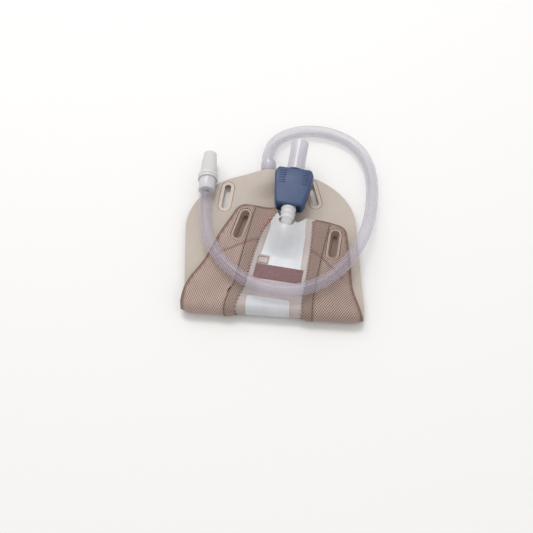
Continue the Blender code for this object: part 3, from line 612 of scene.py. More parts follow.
def smooth_line(points: Sequence[Sequence[float]], steps: int) -> np.ndarray:
    """Points along the smooth curve through the given points.

    Args:
        points: the points to pass through.
        steps: how many points for each stretch.

    Returns:
        The curve's points.
    """
    p = np.asarray(points, float)
    ends = np.vstack([2 * p[0] - p[1], p, 2 * p[-1] - p[-2]])
    line = []
    for before, start, end, after in zip(ends, ends[1:], ends[2:], ends[3:]):
        for step in range(steps):
            f = step / steps
            line.append(
                0.5
                * (
                    2 * start
                    + (end - before) * f
                    + (2 * before - 5 * start + 4 * end - after) * f**2
                    + (3 * start - before - 3 * end + after) * f**3
                )
            )
    return np.array([*line, p[-1]])


def distance_to(points: np.ndarray, line: np.ndarray) -> np.ndarray:
    """How far each point is from a line of segments.

    Args:
        points: places in the flat pattern.
        line: the line's corners.

    Returns:
        One distance for each point.
    """
    least = np.full(len(points), 1e9)
    for a, b in zip(line, line[1:]):
        step = b - a
        share = np.clip((points - a) @ step / (step @ step), 0, 1)
        least = np.minimum(least, np.linalg.norm(points - a - share[:, None] * step, axis=1))
    return least


def inside(points: np.ndarray, loop: np.ndarray) -> np.ndarray:
    """Which points lie inside a closed loop.

    Args:
        points: places in the flat pattern.
        loop: the loop's corners.

    Returns:
        True or False for each point.
    """
    found = np.zeros(len(points), bool)
    x, y = points[:, 0], points[:, 1]
    for (x0, y0), (x1, y1) in zip(loop, np.roll(loop, -1, axis=0)):
        crosses = (y0 > y) != (y1 > y)
        if crosses.any():
            at = x0 + (y - y0) / ((y1 - y0) or 1e-12) * (x1 - x0)
            found ^= crosses & (x < at)
    return found


@dataclass(frozen=True)
class Pattern:
    """The bag's flat pattern and how it lies folded, in metres.

    The sizes are the source's own, but for five that only the looks have, as the photograph shows
    them: the recess's width and shift, the hem's flare, its run in toward the neck, and the notch.
    """

    # The outline, from the inlet edge through the fold to the drain edge with its recess.
    width: float = 109.5 * MM
    inlet: float = 105.5 * MM
    drain: float = 72.5 * MM
    shoulder: float = 34 * MM
    waist_width: float = 84 * MM
    waist_place: float = 48 * MM
    edge_width: float = 60 * MM
    corner: float = 9 * MM
    recess: float = 8.4 * MM
    recess_width: float = 17 * MM
    recess_shift: float = -1.2 * MM
    # How it lies: the turn of the lower half, how much further the upper one turns, and the fold.
    lean: float = math.radians(5.9)
    swing: float = math.radians(5.3)
    slip: float = 3.5 * MM
    fold_run: float = 13 * MM
    centre: tuple[float, float] = (1.8331 * MM, -61.4798 * MM)
    # The layers' thicknesses and the gaps between them.
    fabric: float = 0.6 * MM
    hem_extra: float = 0.4 * MM
    film: float = 0.4 * MM
    fleece: float = 1.2 * MM
    gap: float = 0.3 * MM
    chamber_gap: float = 1.5 * MM
    fold_gap: float = 1.0 * MM
    weld_width: float = 6 * MM
    # The window between the two panels: its width at the fold and at the drain edge, and the hem.
    window: float = 36.5 * MM
    window_end: float = 27 * MM
    taper: float = 20 * MM
    hem_line: float = 25.3 * MM
    hem_step: float = 0.4 * MM
    hem_flare: float = 4.2 * MM
    neck_run: float = 4.4 * MM
    # The strap slots: size, rim, and for each half how far out, how far along and how tilted.
    slot_length: float = 20 * MM
    slot_width: float = 5.4 * MM
    rim: float = 1.4 * MM
    rim_clearance: float = 0.4 * MM
    drain_slots: tuple[float, float, float] = (30 * MM, 56.5 * MM, math.radians(4.3))
    inlet_slots: tuple[float, float, float] = (28.5 * MM, 88.5 * MM, math.radians(10))
    # The drain's stem, how it lies, and the inlet port's boat.
    stem_start: float = 57 * MM
    stem_ring: float = 4.9 * MM
    stem_ring_place: float = 8.6 * MM
    drain_offset: float = -2.6 * MM
    drain_twist: float = math.radians(-4.6)
    drain_pitch: float = math.radians(4.5)
    boat: tuple[float, float, float] = (18 * MM, 6.4 * MM, 7 * MM)
    spout: float = 2 * MM

    @property
    def back_film_level(self) -> float:
        """The back film's middle, from the fold's middle plane."""
        return self.fold_gap / 2 + self.fleece + self.gap + self.film / 2

    @property
    def front_film_level(self) -> float:
        """The front film's middle, without the chamber."""
        return self.back_film_level + self.film

    @property
    def fabric_above(self) -> float:
        """The fabric's middle above the front film's."""
        return self.film / 2 + self.gap + self.fabric / 2

    @property
    def table_level(self) -> float:
        """The fold's middle plane above the table."""
        top = self.front_film_level + self.chamber_gap + self.fabric_above
        return top + self.fabric / 2 + self.hem_extra

    def half_outline(self) -> np.ndarray:
        """The right half of the outline, from the inlet edge's middle to the drain edge's.

        Returns:
            The line's points.
        """
        side, waist, edge = self.width / 2, self.waist_width / 2, self.edge_width / 2
        low, high = -self.inlet, self.drain
        shoulder, corner = low + self.shoulder, edge + self.corner / 2
        half_recess = self.recess_width / 2
        return smooth_line(
            [
                (0, low),
                (side * 0.28, low + 1 * MM),
                (side * 0.52, low + 4 * MM),
                (side * 0.72, low + self.shoulder * 0.32),
                (side * 0.89, low + self.shoulder * 0.62),
                (side * 0.985, shoulder - 1 * MM),
                (side, shoulder + 12 * MM),
                (side, -20 * MM),
                (side + 0.6 * MM, 0),
                (side - 1.2 * MM, self.waist_place * 0.28),
                (side - (side - waist) * 0.62, self.waist_place * 0.6),
                (waist + 0.4 * MM, self.waist_place),
                (corner + 3.6 * MM, high - self.corner * 1.25),
                (corner + 1.6 * MM, high - self.corner * 0.55),
                (corner - 2.6 * MM, high - self.corner * 0.12),
                (edge * 0.78, high),
                (half_recess + 3 * MM, high - self.recess * 0.06),
                (half_recess, high - self.recess * 0.42),
                (half_recess - 2.4 * MM, high - self.recess * 0.88),
                (half_recess / 2, high - self.recess),
                (0, high - self.recess),
            ],
            3,
        )

    def outline(self) -> np.ndarray:
        """The whole outline as a closed loop."""
        half = self.half_outline()
        return self.toward_drain(np.vstack([half, half[-2:0:-1] * (-1, 1)]))

    def toward_drain(self, points: np.ndarray) -> np.ndarray:
        """Moves the recess in the drain edge to where the valve's neck leaves it.

        Args:
            points: places in the flat pattern.

        Returns:
            The moved places.
        """
        t, s = points.T
        share = smooth(s, 58 * MM, 62 * MM) * (1 - smooth(np.abs(t), 9 * MM, 15 * MM))
        return np.column_stack([t + self.recess_shift * share, s])

    def window_half(self, s: np.ndarray) -> np.ndarray:
        """From the bag's axis to the middle of the pinked edge, at each s."""
        share = np.maximum(s - self.taper, 0) / (self.drain - self.taper)
        return self.window / 2 - (self.window - self.window_end) / 2 * share**2

    def neck_notch(self, grow: float = 0.0) -> np.ndarray:
        """Where the front film ends round the valve's neck, from right to left.

        Args:
            grow: how far outside the film's edge the line runs.

        Returns:
            The line's points.
        """
        right = np.array([(4.9, 63.4), (4.4, 61.6), (3.7, 60.2), (2.6, 59.2), (1.0, 58.8)]) * MM
        right += np.array([grow, 0])
        whole = np.vstack([right, right[::-1] * (-1, 1)])
        return whole + (self.drain_axis(60 * MM), -grow)

    def front_outline(self) -> np.ndarray:
        """The front film's outline: the bag's, cut back round the neck.

        Returns:
            The closed loop.
        """
        whole = self.outline()
        recess = (whole[:, 1] > 60 * MM) & (np.abs(whole[:, 0] - self.recess_shift) < 4 * MM)
        first = int(np.argmax(recess))
        kept = whole[~recess]
        return np.vstack([kept[:first], self.neck_notch(), kept[first:]])

    def flare(self, t: np.ndarray, s: np.ndarray) -> np.ndarray:
        """How much further out the left panel's hem lies round the fold."""
        return self.hem_flare * (1 - smooth(np.abs(s), 1 * MM, 19 * MM)) * (np.asarray(t) < 0)

    def hem(self, t: np.ndarray, s: np.ndarray) -> np.ndarray:
        """1 on the doubled hem, and 0 past its line."""
        out = np.abs(t) - self.hem_line - self.flare(t, s)
        return 1 - smooth(out, -0.1 * MM, self.hem_step)

    def pinked_half(self, t: np.ndarray, s: np.ndarray) -> np.ndarray:
        """From the bag's axis to the pinked edge, which on the left also runs in toward the neck."""
        run_in = self.neck_run * smooth(s, 55 * MM, 71 * MM) * (np.asarray(t) < 0)
        return self.window_half(s) - run_in + self.flare(t, s)

    def drain_axis(self, s: np.ndarray) -> np.ndarray:
        """The drain's axis across the pattern.

        Args:
            s: along the bag, from the fold.

        Returns:
            How far to the right of the bag's axis it lies.
        """
        return self.drain_offset + math.tan(self.drain_twist) * (
            s - self.stem_start - self.stem_ring_place
        )

    def port_share(self, t: np.ndarray, s: np.ndarray) -> np.ndarray:
        """How much the inlet port lifts the sheets over it.

        Args:
            t: across the bag.
            s: along it, from the fold.

        Returns:
            1 at the port, easing to 0 away from it.
        """
        start = self.inlet - self.boat[2] - self.spout
        across = t / (0.66 * self.boat[0])
        return smooth(-s, start - 12 * MM, start) * np.exp(-across * across)

    def edge_distance(self, t: np.ndarray, s: np.ndarray) -> np.ndarray:
        """How far each place is from the outline."""
        return distance_to(np.column_stack([np.abs(t), s]), self.half_outline())

    def chamber(self, t: np.ndarray, s: np.ndarray) -> np.ndarray:
        """The gap between the films, wide where the stem lies.

        Args:
            t: across the bag.
            s: along it, from the fold.

        Returns:
            The gap at each place.
        """
        edge = smooth(self.edge_distance(t, s), 0, self.weld_width)
        share = np.maximum(edge, np.minimum(4 * self.port_share(t, s), 1))
        room = self.gap + (self.chamber_gap - self.gap) * share
        start = self.stem_start - self.gap
        across = (t - self.drain_axis(s)) / (1.75 * self.stem_ring)
        climb = math.tan(self.drain_pitch) * np.maximum(s - start, 0)
        height = 2 * self.stem_ring + 2 * self.gap - self.chamber_gap + 0.5 * MM
        bulge = (height + climb + self.chamber_gap - room) * smooth(s, start - 18 * MM, start)
        return room + bulge * np.exp(-across * across)

    def fleece_at(self, t: np.ndarray, s: np.ndarray) -> np.ndarray:
        """The fleece's middle."""
        return self.fold_gap / 2 + self.fleece / 2 - self.inlet_rise(t, s)

    def painted_slot_shade(self, t: np.ndarray, s: np.ndarray) -> np.ndarray:
        """Where the inlet half lies right under the drain half's slots, which the fleece's painted
        shade darkens.

        Args:
            t: across the bag.
            s: along it, from the fold.

        Returns:
            1 under a slot and 0 away from them.
        """
        place = self.folded(t, s, self.fleece_at(t, s))[:, :2]
        spread, along, tilt = self.drain_slots
        up = (self.slot_length - self.slot_width) / 2 * np.array([-1, 1])
        share = np.zeros(len(place))
        for side in (-1, 1):
            ends = (side * spread - up * math.sin(side * tilt), along + up * math.cos(tilt))
            line = self.folded(*ends, self.fleece_at(*ends))[:, :2]
            share = np.maximum(share, 1 - smooth(distance_to(place, line), 3.4 * MM, 5.6 * MM))
        return share * (s < 0)

    def inlet_rise(self, t: np.ndarray, s: np.ndarray) -> np.ndarray:
        """How far the back film and the fleece lift over the inlet port."""
        rise = self.boat[1] + 2 * self.gap - self.chamber_gap + 0.4 * MM
        return rise * self.port_share(t, s)

    def back_film_at(self, t: np.ndarray, s: np.ndarray) -> np.ndarray:
        """The back film's middle."""
        return self.back_film_level - self.inlet_rise(t, s)

    def front_film_at(self, t: np.ndarray, s: np.ndarray) -> np.ndarray:
        """The front film's middle."""
        return self.front_film_level + self.chamber(t, s)

    def fabric_at(self, t: np.ndarray, s: np.ndarray) -> np.ndarray:
        """The fabric's middle."""
        return self.front_film_at(t, s) + self.fabric_above

    def lift(self, t: np.ndarray, s: np.ndarray) -> np.ndarray:
        """How far the drain half's free corners curl up off the half below."""
        return 1.4 * MM * smooth(s, 44 * MM, 74 * MM) * smooth(np.abs(t), 16 * MM, 40 * MM)

    def folded(self, t: np.ndarray, s: np.ndarray, n: np.ndarray) -> np.ndarray:
        """Places in the row frame.

        Args:
            t: across the bag.
            s: along it, from the fold.
            n: outward from the fold's middle plane.

        Returns:
            One row of x, y, z for each place.
        """
        t, s, n = (np.asarray(v, float) for v in np.broadcast_arrays(t, s, n))
        turn = self.lean + self.swing * np.maximum(s, 0) / self.drain
        bend = self.swing / self.drain
        x = np.where(s < 0, s * np.sin(turn), (math.cos(self.lean) - np.cos(turn)) / bend)
        y = np.where(s < 0, s * np.cos(turn), (np.sin(turn) - math.sin(self.lean)) / bend)
        x, y = x + t * np.cos(turn), y - t * np.sin(turn)
        x = x - self.slip / 2 * np.tanh(y / (10 * MM))
        table = self.table_level
        arc = math.pi * n / 2
        travel = np.abs(y) / self.fold_run * (arc + self.fold_run - table)
        side = np.where(y >= 0, 1.0, -1.0)
        angle = np.minimum(travel / n, math.pi / 2)
        bent_y = np.where(travel > arc, table + travel - arc, table - n * np.cos(angle))
        bent_z = table + side * n * np.sin(angle)
        far = np.abs(y) > self.fold_run
        return np.column_stack(
            [
                x + self.centre[0],
                np.where(far, np.abs(y), bent_y) + self.centre[1],
                np.maximum(np.where(far, table + side * n, bent_z) + self.lift(t, s), 0),
            ]
        )

    def stadium(self, name: str, grow: float, parts: int = 10) -> np.ndarray:
        """A strap slot's outline in the flat pattern.

        Args:
            name: drain_left, drain_right, inlet_left or inlet_right.
            grow: how far outside the opening's edge it runs.
            parts: how many segments each round end has.

        Returns:
            The closed loop, counterclockwise.
        """
        spread, place, tilt = self.drain_slots if name.startswith("drain") else self.inlet_slots
        t = -spread if name.endswith("left") else spread
        s = place if name.startswith("drain") else -place
        tilt = tilt if name in ("drain_right", "inlet_left") else -tilt
        radius = self.slot_width / 2 + grow
        straight = (self.slot_length - self.slot_width) / 2
        points = []
        for end in (0, 1):
            for i in range(parts + 1):
                angle = math.pi * (end + i / parts)
                up = straight * (1 - 2 * end) + radius * math.sin(angle)
                out = radius * math.cos(angle)
                points.append(
                    (
                        t + out * math.cos(tilt) - up * math.sin(tilt),
                        s + out * math.sin(tilt) + up * math.cos(tilt),
                    )
                )
        return np.array(points)


PATTERN = Pattern()
SLOT_NAMES = ("drain_left", "drain_right", "inlet_left", "inlet_right")


def new_object(
    name: str, mesh: bpy.types.Mesh, finish: Finish, body: Body
) -> bpy.types.Object:
    """Links a finished mesh to the scene and sets it on its body.

    Args:
        name: the piece's name.
        mesh: its mesh, in the row frame.
        finish: its material.
        body: the body that it rides on.

    Returns:
        The object.
    """
    made = bpy.data.objects.new(name, mesh)
    bpy.context.scene.collection.objects.link(made)
    mesh.materials.clear()
    mesh.materials.append(finish.made())
    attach(made, body.value)
    LOG.info("%s: %d faces", name, len(mesh.polygons))
    return made


def mesh_from(
    name: str, verts: np.ndarray, faces: Iterable[Sequence[int]], smooth_angle: float = 40
) -> bpy.types.Mesh:
    """A mesh of the given points and faces, with its smooth shading set.

    Args:
        name: the mesh's name.
        verts: its points, in the row frame.
        faces: its faces, as indices.
        smooth_angle: sharper edges than this stay sharp, in degrees.

    Returns:
        The mesh.
    """
    mesh = bpy.data.meshes.new(name)
    mesh.from_pydata([tuple(v) for v in verts], [], [tuple(int(i) for i in f) for f in faces])
    mesh.shade_smooth()
    mesh.set_sharp_from_angle(angle=math.radians(smooth_angle))
    return mesh


def lay_flat(mesh: bpy.types.Mesh, places: np.ndarray) -> None:
    """Writes the UV map that the materials' patterns are laid by, in millimetres.

    Args:
        mesh: the mesh.
        places: two coordinates for each point, in metres.
    """
    layer = mesh.uv_layers.get("flat") or mesh.uv_layers.new(name="flat")
    points = np.empty(len(mesh.loops), int)
    mesh.loops.foreach_get("vertex_index", points)
    layer.data.foreach_set("uv", (places[points] / MM).astype(np.float32).ravel())


def mark(mesh: bpy.types.Mesh, name: str, values: np.ndarray) -> None:
    """Stores a number at each point of a mesh, for its material to read.

    Args:
        mesh: the mesh.
        name: what the material calls the number.
        values: one number for each point.
    """
    stored = mesh.attributes.new(name, "FLOAT", "POINT")
    stored.data.foreach_set("value", values.astype(np.float32))


@dataclass
class SheetCut:
    """A sheet cut from a flat shape and folded with the bag.

    Attributes:
        name: the piece's name.
        loop: its outline in the flat pattern.
        level: where its middle surface lies.
        thickness: through the sheet.
        grid: between its points.
        holes: outlines cut out of it.
        lines: lines that its faces follow.
        welds: weld lines across it, which its faces follow too.
        relief: how far its outer and inner face stand from the middle, if not half the thickness.
    """

    name: str
    loop: np.ndarray
    level: Level
    thickness: float
    grid: float = 2 * MM
    holes: list[np.ndarray] = field(default_factory=list)
    lines: list[np.ndarray] = field(default_factory=list)
    welds: list[np.ndarray] = field(default_factory=list)
    relief: Callable[[np.ndarray, np.ndarray], tuple[np.ndarray, np.ndarray]] | None = None

    def flat(self) -> tuple[np.ndarray, np.ndarray]:
        """The sheet's points and triangles in the flat pattern, finer round the fold.

        Returns:
            The points and the triangles.
        """
        low, high = self.loop.min(axis=0), self.loop.max(axis=0)
        across = np.arange(low[0], high[0], self.grid)
        run, fine_grid = PATTERN.fold_run + 7 * MM, 0.8 * MM
        fine = np.arange(-run, run, fine_grid)
        down = np.arange(low[1], high[1], self.grid)
        down = np.sort(np.concatenate([down[np.abs(down) > run], fine]))
        down = down[(down > low[1]) & (down < high[1])]
        points = np.array([(t, s) for s in down for t in across])
        points = points[inside(points, self.loop)]
        closed = [np.vstack([loop, loop[:1]]) for loop in [self.loop, *self.holes]]
        inner = [*self.lines, *self.welds]
        for line in [*closed, *inner]:
            points = points[distance_to(points, line) > 0.42 * self.grid]
        for hole in self.holes:
            points = points[~inside(points, hole)]
        corners, edges = [tuple(p) for p in points], []
        for line, shut in [(c[:-1], True) for c in closed] + [(ln, False) for ln in inner]:
            first = len(corners)
            corners += [tuple(p) for p in line]
            edges += [(first + i, first + i + 1) for i in range(len(line) - 1)]
            if shut:
                edges.append((first + len(line) - 1, first))
        verts, _, faces, _, _, _ = delaunay_2d_cdt([Vector(c) for c in corners], edges, [], 0, 1e-7)
        flat = np.array([tuple(v) for v in verts])
        triangles = np.array([f for f in faces if len(f) == 3])
        middles = flat[triangles].mean(axis=1)
        keep = inside(middles, self.loop)
        for hole in self.holes:
            keep &= ~inside(middles, hole)
        triangles = triangles[keep]
        a, b, c = (flat[triangles[:, i]] for i in range(3))
        turned = (b[:, 0] - a[:, 0]) * (c[:, 1] - a[:, 1]) - (b[:, 1] - a[:, 1]) * (c[:, 0] - a[:, 0])
        triangles[turned < 0] = triangles[turned < 0][:, ::-1]
        used, again = np.unique(triangles, return_inverse=True)
        return flat[used], again.reshape(-1, 3)

    def build(self) -> bpy.types.Mesh:
        """The folded sheet as a closed mesh that carries what its material reads: its flat place, its
        welds, the hem and the painted shade under the slots.

        Returns:
            The mesh.
        """
        flat, triangles = self.flat()
        t, s = flat.T
        middle = self.level(t, s)
        half = np.full(len(flat), self.thickness / 2)
        outer, inner = self.relief(t, s) if self.relief else (half, half)
        count = len(flat)
        verts = np.vstack([PATTERN.folded(t, s, middle + outer), PATTERN.folded(t, s, middle - inner)])
        pairs = {}
        for a, b, c in triangles:
            for i, j in ((a, b), (b, c), (c, a)):
                pairs[(i, j)] = (j, i) not in pairs
                if (j, i) in pairs:
                    pairs[(j, i)] = False
        walls = [(i, i + count, j + count, j) for (i, j), alone in pairs.items() if alone]
        faces = [*map(tuple, triangles), *(tuple(f[::-1] + count) for f in triangles), *walls]
        mesh = mesh_from(self.name, verts, faces)
        lay_flat(mesh, np.tile(flat, (2, 1)))
        marks = {"weld": self.weld, "painted_slot_shade": PATTERN.painted_slot_shade, "hem": PATTERN.hem}
        for name, level in marks.items():
            mark(mesh, name, np.tile(level(t, s), 2))
        return mesh

    def weld(self, t: np.ndarray, s: np.ndarray) -> np.ndarray:
        """Where the sheet is welded.

        Args:
            t: across the bag.
            s: along it, from the fold.

        Returns:
            1 on the welded edge, 0.75 on its weld lines and 0 away from them.
        """
        edge = 1 - smooth(PATTERN.edge_distance(t, s), 1.2 * MM, 2.4 * MM)
        for line in self.welds:
            near = 1 - smooth(distance_to(np.column_stack([t, s]), line), 0.5 * MM, 1.3 * MM)
            edge = np.maximum(edge, 0.75 * near)
        return edge


@dataclass
class SoftSheets:
    """The fleece, the two films and the print: everything flat that the fabric panels lie on.

    Attributes:
        fleece_grid: between the fleece's points.
        film_grid: between the films' points.
        mean_length: the cut sheets' area by the bag's width; not used.
        print_lift: the print's middle over the film.
        print_thickness: how thick each layer of ink is.
        white_start: where the upper white field begins.
        white_margin: how far it stays inside the film's edge.
        white_half_width: half its width, where along the bag that is, and how much less for each mm on.
        bar: the maroon bar's left and right side, bottom and top.
        tilt: how much the print climbs for each mm to the left.
        box: the empty box's left and right side from the bar's left end, and its bottom and top from
            the bar's top.
        box_line: how wide the box's outline is.
        box_reach: the corner that is left out of the white field for the box.
        ridges: how high the film's creases stand by the valve's neck, and elsewhere in the window.
        lower_field: the lower white field's left and right side, and its top.
        lower_end: where the lower field ends, under the upper half.
    """

    fleece_grid: float = 2.4 * MM
    film_grid: float = 1.6 * MM
    mean_length: float = 0.158
    print_lift: float = 0.09 * MM
    print_thickness: float = 0.05 * MM
    white_start: float = 33.1 * MM
    white_margin: float = 0.4 * MM
    white_half_width: tuple[float, float, float] = (13.1 * MM, 37 * MM, 0.08)
    bar: tuple[float, float, float, float] = (-14.5 * MM, 15.4 * MM, 23.4 * MM, 33.2 * MM)
    tilt: float = -0.035
    box: tuple[float, float, float, float] = (0.4 * MM, 7.0 * MM, 0.7 * MM, 5.4 * MM)
    box_line: float = 0.32 * MM
    box_reach: tuple[float, float] = (7.0 * MM, 39.4 * MM)
    lower_field: tuple[float, float, float] = (-15.8 * MM, 10.6 * MM, 11.2 * MM)
    lower_end: float = -62 * MM
    ridges: tuple[float, float] = (0.16 * MM, 0.05 * MM)

    def white_half(self, s: float) -> float:
        """Half the white field's width at a place along the bag."""
        half, place, less = self.white_half_width
        return half - less * (s - place)

    def white_loops(self) -> dict[str, np.ndarray]:
        """The outlines of the two white fields, the one by the valve and the one round the fold.

        Returns:
            The loop of each field, by name.
        """
        low, high = self.white_start, PATTERN.drain - self.white_margin
        half = PATTERN.half_outline()
        beside_neck = (half[:, 0] > 3.9 * MM) & (half[:, 0] < self.white_half(high))
        brink = half[beside_neck & (half[:, 1] > 60 * MM)] - (0, self.white_margin)
        sides = [(self.white_half(s), s) for s in np.linspace(low + 2 * MM, high - 0.5 * MM, 14)]
        upper = [*sides, *map(tuple, brink)]
        right = [(0.0, low), (4 * MM, low), (9 * MM, low), (self.white_half(low), low), *upper]
        across, up = self.box_reach
        left = [(-t, s) for t, s in upper[::-1] if s > up + 1 * MM]
        left += [(-self.white_half(up), up), (-across, up), (-across, low), (-3 * MM, low)]
        neck = PATTERN.neck_notch(self.white_margin)
        right, left = (PATTERN.toward_drain(np.array(part)) for part in (right, left))
        drain = np.vstack([right, neck, left])
        drain[:, 1] -= drain[:, 0] * self.tilt * (drain[:, 1] < up)
        left_end, right_end, top = self.lower_field
        steps = [(0.0, 1.5 * MM), (0.4 * MM, 0.4 * MM), (1.5 * MM, 0.0)]
        fold = [(left_end + t, top - s) for t, s in steps]
        fold += [(right_end - t, top - s) for t, s in steps[::-1]]
        down = np.arange(top - 2.2 * MM, self.lower_end, -0.7 * MM)
        fold += [(right_end, s) for s in down] + [(left_end, s) for s in down[::-1]]
        fold = np.array(fold)
        fold[:, 1] -= fold[:, 0] * self.tilt * (fold[:, 1] > top - 2 * MM)
        return {"white_field_drain": drain, "white_field_fold": fold[::-1]}

    def creases(self, t: np.ndarray, s: np.ndarray) -> np.ndarray:
        """Shallow ridges in the film, running from the valve's neck into the window.

        Args:
            t: across the bag.
            s: along it, from the fold.

        Returns:
            How high they stand at each place.
        """
        axis = PATTERN.drain_axis(s)
        out = np.abs(t - axis)
        near = smooth(s, 36 * MM, 54 * MM) * (1 - smooth(s, 61 * MM, 64 * MM))
        fan = np.cos((t - axis) / (2.6 * MM) + s / (9 * MM))
        long_wave = np.sin(s / (5.2 * MM) + t / (7.5 * MM))
        inside_window = 1 - smooth(out, 9 * MM, 13 * MM)
        high, low = self.ridges
        return inside_window * (near * high * (1 + fan) + low * (1 + long_wave))

    def raised(self, t: np.ndarray, s: np.ndarray) -> np.ndarray:
        """The front film's middle with its creases."""
        return PATTERN.front_film_at(t, s) + self.creases(t, s)

    def over_film(self, t: np.ndarray, s: np.ndarray) -> np.ndarray:
        """Where the print lies, just over the front film."""
        return self.raised(t, s) + PATTERN.film / 2 + self.print_lift

    def over_white(self, t: np.ndarray, s: np.ndarray) -> np.ndarray:
        """Where the second colour lies, just over the first."""
        return self.over_film(t, s) + 2 * self.print_thickness

    def build(self) -> list[bpy.types.Object]:
        """Builds every sheet.

        Returns:
            The pieces.
        """
        loop, room = PATTERN.outline(), PATTERN.rim + PATTERN.rim_clearance
        holes = [PATTERN.stadium(name, room) for name in SLOT_NAMES]
        made = []
        for name, level, thickness, grid, finish, slot in (
            ("fleece_back", PATTERN.fleece_at, PATTERN.fleece, self.fleece_grid, FLEECE, Slot.FLEECE),
            ("film_back", PATTERN.back_film_at, PATTERN.film, self.film_grid, CLEAR_FILM, Slot.FILM),
            ("film_front", self.raised, PATTERN.film, self.film_grid, CLEAR_FILM, Slot.FILM),
        ):
            edge = PATTERN.front_outline() if name == "film_front" else loop
            cut = SheetCut(name, edge, level, thickness, grid, holes=holes)
            made.append(new_object(name, cut.build(), finish, Body.BAG))
        for piece, node in zip(made, ("back_fleece", "back_film", "front_film")):
            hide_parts(node)
        for name, shape in self.white_loops().items():
            cut = SheetCut(name, shape, self.over_film, self.print_thickness, 1.2 * MM)
            made.append(new_object(name, cut.build(), WHITE_FILM, Body.BAG))
        made.append(self.print_bar())
        made.append(self.print_box())
        return made

    def print_bar(self) -> bpy.types.Object:
        """The bare maroon bar across the window.

        Returns:
            The piece.
        """
        left, right, low, high = self.bar
        points = [(left, low), (right, low), (right, high), (left, high)]
        rows = []
        for (t0, s0), (t1, s1) in zip(points, points[1:] + points[:1]):
            rows += [(t0 + (t1 - t0) * i / 12, s0 + (s1 - s0) * i / 12) for i in range(12)]
        loop = np.array([(t, s - t * self.tilt) for t, s in rows])
        cut = SheetCut("print_bar", loop, self.over_white, self.print_thickness, 1.5 * MM)
        return new_object("print_bar", cut.build(), MAROON_INK, Body.BAG)

    def print_box(self) -> bpy.types.Object:
        """The small outlined box over the bar's end, left empty.

        Returns:
            The piece.
        """
        left, right = (self.bar[0] + reach for reach in self.box[:2])
        low, high = (self.bar[3] + reach for reach in self.box[2:])
        frame = self.box_line
        loop = np.array([(left, low), (right, low), (right, high), (left, high)])
        loop[:, 1] -= loop[:, 0] * self.tilt
        hole = loop + np.array([(frame, frame), (-frame, frame), (-frame, -frame), (frame, -frame)])
        cut = SheetCut("print_box", loop, self.over_white, self.print_thickness, 1.5 * MM, holes=[hole])
        return new_object("print_box", cut.build(), MAROON_INK, Body.BAG)


